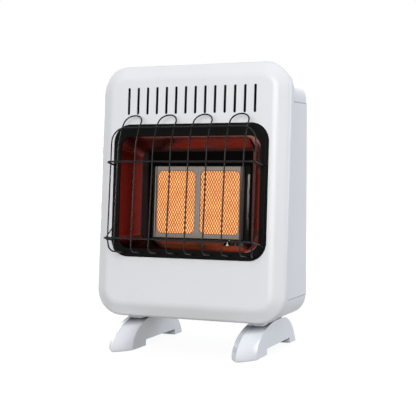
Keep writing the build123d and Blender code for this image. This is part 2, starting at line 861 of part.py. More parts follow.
def rail_route(height, reach, socket_height):
    """Points of one U-shaped rail, from its left socket round to its right one."""
    left = [
        at(-rail_socket_half_span, socket_height, wire_seat),
        at(-rail_half_span, height, reach),
    ]
    right = [
        at(rail_half_span, height, reach),
        at(rail_socket_half_span, socket_height, wire_seat),
    ]
    return left + right


with BuildPart() as guard_upper_rail:
    add(rod(rail_route(upper_rail_height, upper_rail_reach, upper_socket_height), rail_corner, rail_radius))
guard_upper_rail.part.label = "guard_upper_rail"
export_step(guard_upper_rail.part, "parts/guard_upper_rail.step")

with BuildPart() as guard_lower_rail:
    add(rod(rail_route(lower_rail_height, lower_rail_reach, lower_socket_height), rail_corner, rail_radius))
guard_lower_rail.part.label = "guard_lower_rail"
export_step(guard_lower_rail.part, "parts/guard_lower_rail.step")

hairpin_bends = (12.0, 60.0, 40.0)
foot_rise = 2.5


def hairpin_leg(across):
    """Points of one leg, from the bezel's lower flange up to the loop."""
    return [
        at(across, hairpin_foot_height, wire_seat),
        at(across, hairpin_foot_height + foot_rise, hairpin_reach(hairpin_foot_height)),
        at(across, hairpin_bend_height, hairpin_reach(hairpin_bend_height)),
        at(across, shoulder_height, shoulder_reach),
        at(across, hairpin_top_height, hairpin_top_reach),
    ]


loop_bend = hairpin_pitch / 2 - 2 * weld_gap
for index in range(hairpin_count):
    with BuildPart() as guard_hairpin:
        left_leg = hairpin_leg(hairpin_across[2 * index])
        right_leg = hairpin_leg(hairpin_across[2 * index + 1])
        bends = (*hairpin_bends, loop_bend, loop_bend, *reversed(hairpin_bends))
        add(rod(left_leg + right_leg[::-1], bends, guard_wire_radius))
    guard_hairpin.part.label = f"guard_hairpin_{index + 1}"
    export_step(guard_hairpin.part, f"parts/guard_hairpin_{index + 1}.step")

perimeter_bends = (10.0, 16.0, 14.0)
perimeter_spread = 2.0  # the sides stand this far further apart above the lower bend
perimeter_step = 4.0
perimeter_fall = 3.0


def perimeter_side(side):
    """Points of one side of the perimeter wire, from the bezel's lower flange to the top corner."""
    return [
        at(side * perimeter_foot, perimeter_foot_height, wire_seat),
        at(side * perimeter_foot, perimeter_foot_height, 2 * bezel_rise),
        at(
            side * (perimeter_half_width - perimeter_spread),
            perimeter_foot_height + perimeter_step,
            perimeter_low_reach - perimeter_fall,
        ),
        at(side * perimeter_half_width, perimeter_low_height, perimeter_low_reach),
        at(side * perimeter_half_width, perimeter_top, perimeter_top_reach),
    ]


with BuildPart() as guard_perimeter_wire:
    bends = (*perimeter_bends, perimeter_corner, perimeter_corner, *reversed(perimeter_bends))
    add(rod(perimeter_side(-1) + perimeter_side(1)[::-1], bends, guard_wire_radius))
guard_perimeter_wire.part.label = "guard_perimeter_wire"
export_step(guard_perimeter_wire.part, "parts/guard_perimeter_wire.step")

stay_bend = 8.0
stay_rise = 10.0
stay_spread = 1.1
stay_end_height = lower_rail_height + 2.0
stay_end_reach = perimeter_low_reach - 1.0


def stay_route(side):
    """Points of one side stay, from the bezel's side flange down to the lower rail."""
    return [
        at(side * stay_across, stay_foot_height, wire_seat),
        at(side * stay_across, stay_foot_height, stay_rise),
        at(side * (stay_across + stay_spread), stay_end_height, stay_end_reach),
    ]


with BuildPart() as guard_side_stays:
    add(rod(stay_route(-1), stay_bend, stay_radius))
    add(rod(stay_route(1), stay_bend, stay_radius))
guard_side_stays.part.label = "guard_side_stays"
export_step(guard_side_stays.part, "parts/guard_side_stays.step")

# ---------------------------------------------------------------- pilot group
pilot_shelf = well_foot - well_flange
pilot_shelf_front = pilot_slot_near - 1.0
pilot_flange_height = 11.0
spark_x = pilot_slot_left + 6.0
pilot_x = spark_x + 10.0
couple_x = pilot_x + 10.0
pilot_body_radius = 3.6
couple_radius = 2.0
spark_radius = 2.5
spark_body_half = 8.0
pilot_tip = well_foot + 2.0
spark_level = pilot_shelf - 60.0  # heights at which the three lines leave to the right
pilot_level = pilot_shelf - 50.0
couple_level = pilot_shelf - 40.0
shelf_top = pilot_shelf + frame_sheet
pilot_bracket_x = (pilot_slot_left + pilot_slot_right) / 2


def pilot_post(across):
    """Plane whose normal climbs the leaning face through one of the pilot group's posts."""
    return Plane(origin=at(across, 0, -pilot_depth), x_dir=(1, 0, 0), z_dir=front.y_dir)


with BuildPart() as pilot_bracket:
    with BuildSketch(pilot_post(0).offset(pilot_shelf)):
        with Locations((pilot_bracket_x, (pilot_shelf_front + well_back) / 2 - pilot_depth)):
            Rectangle(pilot_slot_right - pilot_slot_left, well_back - pilot_shelf_front)
        with Locations((spark_x, 0)):
            Circle(spark_radius + socket_clearance, mode=Mode.SUBTRACT)
        with Locations((pilot_x, 0)):
            Circle(pilot_body_radius + socket_clearance, mode=Mode.SUBTRACT)
        with Locations((couple_x, 0)):
            Circle(couple_radius + socket_clearance, mode=Mode.SUBTRACT)
    extrude(amount=frame_sheet)
    with BuildSketch(front.offset(-well_back)):
        with Locations((pilot_bracket_x, pilot_shelf + pilot_flange_height / 2)):
            Rectangle(pilot_slot_right - pilot_slot_left, pilot_flange_height)
    extrude(amount=frame_sheet)
pilot_bracket.part.label = "pilot_bracket"
export_step(pilot_bracket.part, "parts/pilot_bracket.step")

pilot_nut_radius = 4.6
pilot_nut_height = 6.0
pilot_nut_foot = pilot_shelf - pilot_nut_height
pilot_slot = 1.6

with BuildPart() as pilot_burner:
    add(
        stack(
            pilot_post(pilot_x),
            [
                (pilot_nut_radius, pilot_nut_foot, pilot_shelf),
                (pilot_body_radius, pilot_shelf, pilot_tip),
                (pilot_nut_radius, shelf_top, shelf_top + pilot_nut_height / 2),
            ],
        )
    )
    add(
        stack(
            pilot_post(pilot_x),
            [
                (pilot_body_radius - frame_sheet, shelf_top + pilot_nut_height, pilot_tip - frame_sheet),
                (pilot_tube_radius + pan_clearance, pilot_nut_foot, pilot_shelf - frame_sheet),
            ],
        ),
        mode=Mode.SUBTRACT,
    )
    with BuildSketch(pilot_post(pilot_x).offset(pilot_tip - pilot_nut_height)):
        with Locations((0, pilot_body_radius)):
            Rectangle(pilot_slot, 2 * pilot_body_radius)
    extrude(amount=pilot_nut_height - 2 * frame_sheet, mode=Mode.SUBTRACT)
pilot_burner.part.label = "pilot_burner"
export_step(pilot_burner.part, "parts/pilot_burner.step")

couple_lead_radius = 1.2
couple_corner = at(couple_x, couple_level, -pilot_depth)
couple_lead_x = side_edge - 15.0
couple_lead_y = control_y - 33.0
couple_port = (knob_x + 10.0, bracket_height + 30.0)
couple_port_length = 5.0
couple_seat = 2.0  # how far the lead's end lies inside its port
valve_front = control_y - valve_depth / 2
couple_port_face = valve_front - couple_port_length
couple_port_floor = couple_port_face + couple_seat + 1.0

with BuildPart() as thermocouple:
    add(stack(pilot_post(couple_x), [(couple_radius, pilot_nut_foot, pilot_tip + frame_sheet)]))
    add(
        rod(
            [
                at(couple_x, pilot_shelf - frame_sheet, -pilot_depth),
                couple_corner,
                (couple_lead_x, couple_corner.Y, couple_corner.Z),
                (couple_lead_x, couple_lead_y, couple_corner.Z),
                (couple_lead_x, couple_lead_y, couple_port[1]),
                (couple_port[0], couple_lead_y, couple_port[1]),
                (couple_port[0], couple_port_face + couple_seat, couple_port[1]),
            ],
            (10.0, 10.0, 10.0, 10.0, 6.0),
            couple_lead_radius,
        )
    )
thermocouple.part.label = "thermocouple"
export_step(thermocouple.part, "parts/thermocouple.step")

spark_wire_radius = 0.8
spark_collar = 1.0
spark_gap = 2.0  # from the wire's tip to the pilot burner

with BuildPart() as spark_electrode:
    add(
        stack(
            pilot_post(spark_x),
            [
                (spark_radius, pilot_shelf - spark_body_half, pilot_shelf + spark_body_half),
                (spark_radius + spark_collar, shelf_top, shelf_top + 2 * spark_collar),
            ],
        )
    )
    add(
        rod(
            [
                at(spark_x, pilot_shelf + spark_body_half - spark_collar, -pilot_depth),
                at(spark_x, pilot_tip - 3 * spark_collar, -pilot_depth),
                at(pilot_x - pilot_body_radius - spark_gap, pilot_tip, -pilot_depth),
            ],
            spark_gap,
            spark_wire_radius,
        )
    )
spark_electrode.part.label = "spark_electrode"
export_step(spark_electrode.part, "parts/spark_electrode.step")

# ---------------------------------------------------------------- inner sheets
shield_front = back_face - 24.4
deflector_tab = 25.0
deflector_half_width = shield_half_width - 3.0
deflector_lip_foot = louver_centre + louver_length / 2 + 1.75
deflector_lip_top = deflector_lip_foot + 8.0
deflector_bend_rise = 2.0  # the deflector turns forward this far above the shield
bracket_front = control_y - 24.0
bracket_flange = 30.0

with BuildPart() as rear_heat_shield:
    with BuildSketch(Plane.XY.offset(shield_foot)):
        with BuildLine():
            Polyline(
                (-shield_half_width - shield_lip, casing_back_inside - frame_sheet / 2),
                (-shield_half_width, casing_back_inside - frame_sheet / 2),
                (-shield_half_width, shield_front + frame_sheet / 2),
                (shield_half_width, shield_front + frame_sheet / 2),
                (shield_half_width, casing_back_inside - frame_sheet / 2),
                (shield_half_width + shield_lip, casing_back_inside - frame_sheet / 2),
            )
        trace(line_width=frame_sheet)
    extrude(amount=shield_top - shield_foot)
    with BuildSketch(rear.offset(through)):
        with Locations(*[(-x, z) for x, z in shield_screw_spots]):
            Circle(m4_hole)
    extrude(amount=-casing_sheet - frame_sheet - 2 * through, mode=Mode.SUBTRACT)
rear_heat_shield.part.label = "rear_heat_shield"
export_step(rear_heat_shield.part, "parts/rear_heat_shield.step")

lip_depth = sheet + frame_sheet / 2
lip_foot = at(0, deflector_lip_foot, -lip_depth)
lip_top = at(0, deflector_lip_top, -lip_depth)

with BuildPart() as top_deflector:
    with BuildSketch(Plane.YZ.offset(-deflector_half_width)):
        with BuildLine():
            Polyline(
                (shield_front + 3 * frame_sheet / 2, shield_top - deflector_tab),
                (shield_front + 3 * frame_sheet / 2, shield_top + deflector_bend_rise),
                (lip_foot.Y, lip_foot.Z),
                (lip_top.Y, lip_top.Z),
            )
        trace(line_width=frame_sheet)
    extrude(amount=2 * deflector_half_width)
top_deflector.part.label = "top_deflector"
export_step(top_deflector.part, "parts/top_deflector.step")

with BuildPart() as control_bracket:
    with BuildSketch(Plane.YZ.offset(bracket_left)):
        with BuildLine():
            Polyline(
                (bracket_front, bracket_height - bracket_sheet / 2),
                (casing_back_inside - bracket_sheet / 2, bracket_height - bracket_sheet / 2),
                (casing_back_inside - bracket_sheet / 2, bracket_height - bracket_flange),
            )
        trace(line_width=bracket_sheet)
    extrude(amount=bracket_right - bracket_left)
    with BuildSketch(rear.offset(through)):
        with Locations(*[(-x, z) for x, z in bracket_screw_spots]):
            Circle(m4_hole)
    extrude(amount=-casing_sheet - bracket_sheet - 2 * through, mode=Mode.SUBTRACT)
control_bracket.part.label = "control_bracket"
export_step(control_bracket.part, "parts/control_bracket.step")

# ---------------------------------------------------------------- gas valve and controls
knob_axis = Plane(origin=(knob_x, control_y, 0))
igniter_axis = Plane(origin=(igniter_x, control_y, 0))
valve_top = bracket_height + valve_height
boss_top = casing_top - 18.0
bore_floor = bracket_height + 20.0
valve_side = knob_x + valve_width / 2
port_length = 8.0
port_wall = 2.0
port_depth = 6.0  # the tubes' sockets
port_floor = valve_side + port_length - port_depth
tube_end_gap = 0.5  # from a tube's end to the floor of its socket
burner_port = (control_y - 12.0, bracket_height + 20.0)
supply_port = (control_y + 8.0, bracket_height + 28.0)
pilot_port = (control_y - 4.0, bracket_height + 12.0)
valve_ports = (
    (burner_port, burner_tube_radius),
    (supply_port, supply_tube_radius),
    (pilot_port, pilot_tube_radius),
)


def side_port(place):
    """Plane across the valve's right-hand side, at a port given by its Y and Z."""
    return Plane(origin=(0, place[0], place[1]), x_dir=(0, 1, 0), z_dir=(1, 0, 0))


with BuildPart() as gas_valve_body:
    with BuildSketch(knob_axis.offset(bracket_height)):
        Rectangle(valve_width, valve_depth)
    extrude(amount=valve_height)
    fillet(gas_valve_body.edges().filter_by(Axis.Z), valve_corner)
    add(stack(knob_axis, [(valve_boss_radius, valve_top, boss_top)]))
    for place, tube_radius in valve_ports:
        add(stack(side_port(place), [(tube_radius + port_wall, valve_side, valve_side + port_length)]))
    couple_plane = Plane(origin=(couple_port[0], 0, couple_port[1]), x_dir=(-1, 0, 0), z_dir=(0, 1, 0))
    add(stack(couple_plane, [(couple_lead_radius + port_wall, couple_port_face, valve_front)]))
    for place, tube_radius in valve_ports:
        add(
            stack(side_port(place), [(tube_radius + pan_clearance, port_floor, valve_side + port_length)]),
            mode=Mode.SUBTRACT,
        )
    add(
        stack(
            couple_plane,
            [(couple_lead_radius + pan_clearance, couple_port_face, couple_port_floor)],
        ),
        mode=Mode.SUBTRACT,
    )
    add(stack(knob_axis, [(valve_bore_radius, bore_floor, boss_top)]), mode=Mode.SUBTRACT)
gas_valve_body.part.label = "gas_valve_body"
export_step(gas_valve_body.part, "parts/gas_valve_body.step")

collar_foot = boss_top - 12.0
collar_top = boss_top - 4.0
end_float = 0.2
ring_height = 2.0
ring_radius = 5.5
dial_top = casing_top + dial_sheet
knob_foot = dial_top + knob_travel + 0.8
knob_top = knob_foot + knob_height
stem_foot = bore_floor + 6.0
stem_top = knob_top - 2.5
flat_foot = knob_foot + 4.0  # the stem's flat starts here
flat_cut = 1.0

with BuildPart() as stem_collar:
    add(stack(knob_axis, [(valve_bore_radius - running_clearance, collar_foot, collar_top)]))
    add(stack(knob_axis, [(stem_radius + running_clearance, collar_foot, collar_top)]), mode=Mode.SUBTRACT)
stem_collar.part.label = "stem_collar"
export_step(stem_collar.part, "parts/stem_collar.step")

with BuildPart() as valve_stem:
    add(
        stack(
            knob_axis,
            [
                (stem_radius, stem_foot, stem_top),
                (ring_radius, collar_top + end_float, collar_top + end_float + ring_height),
                (ring_radius, collar_foot - end_float - ring_height, collar_foot - end_float),
            ],
        )
    )
    with BuildSketch(knob_axis.offset(flat_foot)):
        with Locations((0, stem_radius)):
            Rectangle(2 * stem_radius, 2 * flat_cut)
    extrude(amount=stem_top - flat_foot, mode=Mode.SUBTRACT)
valve_stem.part.label = "valve_stem"
export_step(valve_stem.part, "parts/valve_stem.step")

knob_skirt = 6.0
skirt_bevel = 1.5
grip_width = 11.0
grip_inset = 3.0
grip_round = 1.0
pointer_inset = 10.0
pointer_width = 1.6
pointer_depth = 0.6

with BuildPart() as control_knob:
    add(stack(knob_axis, [(knob_radius, knob_foot, knob_foot + knob_skirt)]))
    chamfer(control_knob.faces().sort_by(Axis.Z)[-1].edges(), skirt_bevel)
    with BuildSketch(knob_axis.offset(knob_foot + knob_skirt)):
        SlotOverall(2 * (knob_radius - grip_inset), grip_width, rotation=90)
    extrude(amount=knob_height - knob_skirt)
    fillet(control_knob.faces().sort_by(Axis.Z)[-1].edges(), grip_round)
    with BuildSketch(knob_axis.offset(knob_top)):
        with Locations((0, -knob_radius / 2)):
            Rectangle(pointer_width, knob_radius - pointer_inset)
    extrude(amount=-pointer_depth, mode=Mode.SUBTRACT)
    add(stack(knob_axis, [(stem_radius, knob_foot, flat_foot)]), mode=Mode.SUBTRACT)
    with BuildSketch(knob_axis.offset(flat_foot)):
        Circle(stem_radius)
        with Locations((0, stem_radius)):
            Rectangle(2 * stem_radius, 2 * flat_cut, mode=Mode.SUBTRACT)
    extrude(amount=stem_top - flat_foot, mode=Mode.SUBTRACT)
control_knob.part.label = "control_knob"
export_step(control_knob.part, "parts/control_knob.step")

dial_left = igniter_x - 22.0
dial_right = knob_x + 23.0
dial_front = control_y - 26.0
dial_back = control_y + 26.0
dial_corner = 4.0

with BuildPart() as dial_plate:
    with BuildSketch(roof):
        with Locations(((dial_left + dial_right) / 2, (dial_front + dial_back) / 2)):
            RectangleRounded(dial_right - dial_left, dial_back - dial_front, dial_corner)
        with Locations((knob_x, control_y)):
            Circle(stem_hole, mode=Mode.SUBTRACT)
        with Locations((igniter_x, control_y)):
            Circle(igniter_neck_radius + hole_clearance, mode=Mode.SUBTRACT)
    extrude(amount=dial_sheet)
dial_plate.part.label = "dial_plate"
export_step(dial_plate.part, "parts/dial_plate.step")

igniter_foot = bracket_height + 18.0
igniter_floor = igniter_foot + 12.0
neck_top = dial_top + 3.8
nut_height = 3.0
nut_radius = 11.5
button_foot = igniter_floor + 15.0
cap_foot = neck_top + igniter_travel + 0.5
cap_height = 5.0
cap_radius = 6.5
cap_round = 1.0

with BuildPart() as igniter_body:
    add(
        stack(
            igniter_axis,
            [
                (igniter_radius, igniter_foot, casing_top - casing_sheet),
                (igniter_neck_radius, casing_top - casing_sheet, neck_top),
            ],
        )
    )
    add(
        stack(igniter_axis, [(button_radius + running_clearance, igniter_floor, neck_top)]),
        mode=Mode.SUBTRACT,
    )
igniter_body.part.label = "igniter_body"
export_step(igniter_body.part, "parts/igniter_body.step")

with BuildPart() as igniter_nut:
    with BuildSketch(igniter_axis.offset(dial_top)):
        RegularPolygon(nut_radius, 6)
        Circle(igniter_neck_radius + running_clearance, mode=Mode.SUBTRACT)
    extrude(amount=nut_height)
igniter_nut.part.label = "igniter_nut"
export_step(igniter_nut.part, "parts/igniter_nut.step")

with BuildPart() as igniter_button:
    add(
        stack(
            igniter_axis,
            [(button_radius, button_foot, cap_foot), (cap_radius, cap_foot, cap_foot + cap_height)],
        )
    )
    fillet(igniter_button.faces().sort_by(Axis.Z)[-1].edges(), cap_round)
igniter_button.part.label = "igniter_button"
export_step(igniter_button.part, "parts/igniter_button.step")

spark_corner = at(spark_x, spark_level, -pilot_depth)
wire_x = side_edge - 9.0
wire_y = control_y - 28.0
wire_z = igniter_floor + 10.0
wire_bend = 12.0

with BuildPart() as igniter_wire:
    add(
        rod(
            [
                at(spark_x, pilot_shelf - spark_body_half - weld_gap, -pilot_depth),
                spark_corner,
                (wire_x, spark_corner.Y, spark_corner.Z),
                (wire_x, wire_y, spark_corner.Z),
                (wire_x, wire_y, wire_z),
                (igniter_x, wire_y, wire_z),
                (igniter_x, control_y - igniter_radius - weld_gap, wire_z),
            ],
            wire_bend,
            lead_radius,
        )
    )
igniter_wire.part.label = "igniter_wire"
export_step(igniter_wire.part, "parts/igniter_wire.step")

# ---------------------------------------------------------------- gas train
inlet_axis = Plane(origin=(inlet_x, 0, inlet_z), x_dir=(-1, 0, 0), z_dir=(0, 1, 0))
inlet_bore = 3.0
spigot_radius = 6.0
spigot_start = back_face - 24.4
thread_start = back_face - 12.4
hex_radius = 12.7
hex_length = 6.0
locknut_length = 5.0
flare_start = back_face + hex_length
flare_cone = 2.5
regulator_front = back_face - 48.4
regulator_back = back_face - 22.4
regulator_body_radius = 22.0
regulator_cap_step = 4.0
regulator_flange_front = back_face - 38.4
regulator_flange_back = back_face - 34.4
regulator_neck = 6.0
regulator_screw_radius = 1.9
regulator_screw_inset = 2.6
regulator_screw_proud = 2.0
outlet_radius = 5.9
outlet_socket = 8.0
outlet_y = back_face - 28.4
supply_x = side_edge - 19.0
outlet_end = supply_x - 21.0
supply_bend = 14.0

with BuildPart() as gas_inlet_fitting:
    add(
        stack(
            inlet_axis,
            [
                (spigot_radius, spigot_start, thread_start),
                (flare_radius, thread_start, back_face),
                (flare_radius, flare_start, flare_start + flare_length),
            ],
        )
    )
    chamfer(gas_inlet_fitting.faces().sort_by(Axis.Y)[-1].edges(), flare_cone)
    with BuildSketch(inlet_axis.offset(back_face)):
        RegularPolygon(hex_radius, 6)
    extrude(amount=hex_length)
    add(stack(inlet_axis, [(inlet_bore, spigot_start, flare_start + flare_length)]), mode=Mode.SUBTRACT)
gas_inlet_fitting.part.label = "gas_inlet_fitting"
export_step(gas_inlet_fitting.part, "parts/gas_inlet_fitting.step")

with BuildPart() as inlet_locknut:
    with BuildSketch(inlet_axis.offset(casing_back_inside - locknut_length)):
        RegularPolygon(hex_radius, 6)
        Circle(flare_radius + running_clearance, mode=Mode.SUBTRACT)
    extrude(amount=locknut_length)
inlet_locknut.part.label = "inlet_locknut"
export_step(inlet_locknut.part, "parts/inlet_locknut.step")

with BuildPart() as pressure_regulator:
    add(
        stack(
            inlet_axis,
            [
                (regulator_body_radius - regulator_cap_step, regulator_front, regulator_flange_front),
                (regulator_body_radius, regulator_front + regulator_cap_step, regulator_flange_back),
                (regulator_radius, regulator_flange_front, regulator_flange_back),
                (regulator_body_radius, regulator_flange_back, regulator_back),
                (spigot_radius + regulator_cap_step, regulator_back, regulator_back + regulator_neck),
            ],
        )
    )
    add(stack(side_port((outlet_y, inlet_z)), [(outlet_radius, inlet_x, outlet_end)]))
    add(
        stack(
            side_port((outlet_y, inlet_z)),
            [(supply_tube_radius + pan_clearance, outlet_end - outlet_socket, outlet_end)],
        ),
        mode=Mode.SUBTRACT,
    )
    add(
        stack(inlet_axis, [(spigot_radius + pan_clearance, spigot_start, regulator_back + regulator_neck)]),
        mode=Mode.SUBTRACT,
    )
    with BuildSketch(inlet_axis.offset(regulator_flange_front - regulator_screw_proud)):
        with PolarLocations(regulator_radius - regulator_screw_inset, 6):
            Circle(regulator_screw_radius)
    extrude(amount=regulator_flange_back - regulator_flange_front + 2 * regulator_screw_proud)
pressure_regulator.part.label = "pressure_regulator"
export_step(pressure_regulator.part, "parts/pressure_regulator.step")

with BuildPart() as supply_tube:
    add(
        rod(
            [
                (outlet_end - outlet_socket + 2 * tube_end_gap, outlet_y, inlet_z),
                (supply_x, outlet_y, inlet_z),
                (supply_x, supply_port[0], supply_port[1]),
                (port_floor + tube_end_gap, supply_port[0], supply_port[1]),
            ],
            supply_bend,
            supply_tube_radius,
            supply_tube_radius - frame_sheet,
        )
    )
supply_tube.part.label = "supply_tube"
export_step(supply_tube.part, "parts/supply_tube.step")

burner_tube_x = side_edge - 29.0
burner_bend = 12.0
nozzle_place = at(0, burner_centre - mixing_drop, -mixing_depth)
holder_floor = mixing_left + bracket_start + holder_length - tube_socket

with BuildPart() as burner_tube:
    add(
        rod(
            [
                (port_floor + tube_end_gap, burner_port[0], burner_port[1]),
                (burner_tube_x, burner_port[0], burner_port[1]),
                (burner_tube_x, nozzle_place.Y, nozzle_place.Z),
                (holder_floor + tube_end_gap, nozzle_place.Y, nozzle_place.Z),
            ],
            burner_bend,
            burner_tube_radius,
            burner_tube_radius - frame_sheet,
        )
    )
burner_tube.part.label = "burner_tube"
export_step(burner_tube.part, "parts/burner_tube.step")

pilot_tube_x = side_edge - 35.0
pilot_bend = 8.0
pilot_seat_gap = 1.5
pilot_corner = at(pilot_x, pilot_level, -pilot_depth)

with BuildPart() as pilot_tube:
    add(
        rod(
            [
                (port_floor + tube_end_gap, pilot_port[0], pilot_port[1]),
                (pilot_tube_x, pilot_port[0], pilot_port[1]),
                (pilot_tube_x, pilot_port[0], pilot_corner.Z),
                (pilot_tube_x, pilot_corner.Y, pilot_corner.Z),
                pilot_corner,
                at(pilot_x, pilot_shelf - pilot_seat_gap, -pilot_depth),
            ],
            pilot_bend,
            pilot_tube_radius,
            pilot_tube_radius / 2,
        )
    )
pilot_tube.part.label = "pilot_tube"
export_step(pilot_tube.part, "parts/pilot_tube.step")

# ---------------------------------------------------------------- feet
tail_end = foot_front + foot_length
foot_seat = Plane.XY.offset(foot_top - foot_wall)  # the foot screws' heads bear here
tip_x = -5.0  # the nose's point lies off the foot's centre line
nose_left_run = 20.5  # from the point back to the left-hand corner
nose_right_run = 37.0
nose_bulge = 1.5
nose_mid_run = 15.0
nose_level = 5.0  # the point reaches furthest forward at this height
nose_undercut = 2.0
nose_reach = 118.0
nose_rise = foot_top - nose_level
nose_steps = 10
top_end = 48.5  # the flat top runs back to here
tail_shoulder = (71.8, 55.2)
tail_middle = (110.3, 35.0)
floor_cut = foot_wall + 2.0  # the hollow breaks out through the underside by this much


def foot_side(back, inset):
    """Half width of a foot at a distance back: its sides draw in towards the tail."""
    taper = (foot_half_width - foot_tail_half_width) * (back - foot_front) / foot_length
    return foot_half_width - taper - inset


def foot_section(level, tip, inset):
    """Plan of a foot at one height, with its point at the given Y."""
    left_corner = (-foot_side(tip + nose_left_run, inset), tip + nose_left_run)
    right_corner = (foot_side(tip + nose_right_run, inset), tip + nose_right_run)
    middle = ((tip_x + right_corner[0]) / 2 + nose_bulge, tip + nose_mid_run)
    tail = foot_side(tail_end, inset)
    with BuildSketch(Plane.XY.offset(level)) as plan:
        with BuildLine():
            Line(left_corner, (tip_x, tip))
            ThreePointArc((tip_x, tip), middle, right_corner)
            Polyline(right_corner, (tail, tail_end), (-tail, tail_end), left_corner)
        make_face()
    return plan.sketch


def foot_form(inset):
    """Solid foot whose point runs back along a quarter ellipse, drawn in by inset."""
    sections = [
        foot_section(0, foot_front + nose_undercut + inset, inset),
        foot_section(nose_level / 2, foot_front + nose_undercut / 4 + inset, inset),
    ]
    for step in range(nose_steps + 1):
        turn = radians(90 * step / nose_steps)
        level = nose_level + (nose_rise - inset) * sin(turn)
        tip = foot_front + nose_reach - (nose_reach - inset) * cos(turn)
        sections.append(foot_section(level, tip, inset))
    with BuildPart() as form:
        loft(sections=sections)
    return form.part


with BuildSketch(Plane.YZ) as foot_profile:
    with BuildLine():
        tail_arc = ThreePointArc((tail_end, 0), tail_middle, tail_shoulder)
        TangentArc(tail_arc @ 1, (top_end, foot_top), tangent=tail_arc % 1)
        Polyline(
            (top_end, foot_top),
            (foot_front - foot_wall, foot_top),
            (foot_front - foot_wall, 0),
            (toe_end, 0),
            (toe_end, arch_height),
            (heel_start, arch_height),
            (heel_start, 0),
            (tail_end, 0),
        )
    make_face()

with BuildSketch(Plane.YZ) as cavity_profile:
    add(foot_profile.sketch_local)
    offset(amount=-foot_wall, mode=Mode.REPLACE)
    with Locations(((toe_end + heel_start) / 2, arch_height)):
        Rectangle(heel_start - toe_end, 2 * floor_cut)
    with Locations((toe_end - foot_wall, 0)):
        Rectangle(foot_length / 2, 2 * floor_cut, align=(Align.MAX, Align.CENTER))
    with Locations((heel_start + foot_wall, 0)):
        Rectangle(heel_inside, 2 * floor_cut, align=(Align.MIN, Align.CENTER))

with BuildPart() as foot_cavity:
    add(foot_form(foot_wall))
    extrude(cavity_profile.sketch, amount=foot_half_width + foot_wall, both=True, mode=Mode.INTERSECT)

with BuildPart() as foot_body:
    add(foot_form(0))
    extrude(foot_profile.sketch, amount=foot_half_width + foot_wall, both=True, mode=Mode.INTERSECT)
    add(foot_cavity.part, mode=Mode.SUBTRACT)
    with BuildSketch(foot_seat):
        with Locations((0, (pad_front + pad_back) / 2)):
            RectangleRounded(pad_width, pad_back - pad_front, pad_corner)
    extrude(amount=casing_bottom - foot_top + foot_wall)
    with BuildSketch(foot_seat):
        with Locations(*[(0, y) for y in foot_screw_y]):
            Circle(m5_hole)
    extrude(amount=casing_bottom - foot_top + foot_wall, mode=Mode.SUBTRACT)
    with BuildSketch(foot_seat):
        with Locations(*[(0, y) for y in foot_screw_y]):
            Circle(m5_head + socket_clearance)
    extrude(amount=-m5_head_height - 2 * through, mode=Mode.SUBTRACT)

for side, name in ((-1, "foot_left"), (1, "foot_right")):
    with BuildPart() as foot:
        with Locations((side * foot_spacing / 2, 0, 0)):
            add(foot_body.part)
    foot.part.label = name
    export_step(foot.part, f"parts/{name}.step")

# ---------------------------------------------------------------- fasteners
with BuildPart() as cover_screws:
    add(
        screw(
            turned_round(front.offset(-cover_depth)),
            cover_screw_spots,
            m3,
            sheet_screw,
            m3_head,
            m3_head_height,
        )
    )
cover_screws.part.label = "cover_screws"
export_step(cover_screws.part, "parts/cover_screws.step")

with BuildPart() as bezel_screws:
    add(
        screw(
            turned_round(front.offset(-sheet - reflector_sheet)),
            bezel_screw_spots,
            m3,
            thin_screw,
            m3_head,
            m3_head_height,
        )
    )
bezel_screws.part.label = "bezel_screws"
export_step(bezel_screws.part, "parts/bezel_screws.step")

with BuildPart() as burner_screws:
    add(
        screw(
            front.offset(frame_sheet - plate_face),
            ear_screw_spots,
            m4,
            sheet_screw,
            m4_head,
            m4_head_height,
        )
    )
burner_screws.part.label = "burner_screws"
export_step(burner_screws.part, "parts/burner_screws.step")

with BuildPart() as mount_plate_screws:
    add(
        screw(
            turned_round(front.offset(-plate_face - mount_plate_sheet)),
            plate_screw_spots,
            m4,
            sheet_screw,
            m4_head,
            m4_head_height,
        )
    )
mount_plate_screws.part.label = "mount_plate_screws"
export_step(mount_plate_screws.part, "parts/mount_plate_screws.step")

with BuildPart() as shield_screws:
    add(screw(rear, [(-x, z) for x, z in shield_screw_spots], m4, sheet_screw, m4_head, m4_head_height))
shield_screws.part.label = "shield_screws"
export_step(shield_screws.part, "parts/shield_screws.step")

with BuildPart() as bracket_screws:
    add(screw(rear, [(-x, z) for x, z in bracket_screw_spots], m4, sheet_screw, m4_head, m4_head_height))
bracket_screws.part.label = "bracket_screws"
export_step(bracket_screws.part, "parts/bracket_screws.step")

with BuildPart() as foot_screws:
    add(screw(turned_round(foot_seat), foot_screw_spots, m5, foot_screw, m5_head, m5_head_height))
foot_screws.part.label = "foot_screws"
export_step(foot_screws.part, "parts/foot_screws.step")
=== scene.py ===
"""Looks for an infrared gas room heater: white cabinet, dark reflector, glowing plaques, guard."""
import json
from math import cos, pi, radians, sin, sqrt

import bmesh
import bpy
from mathutils import Matrix, Vector


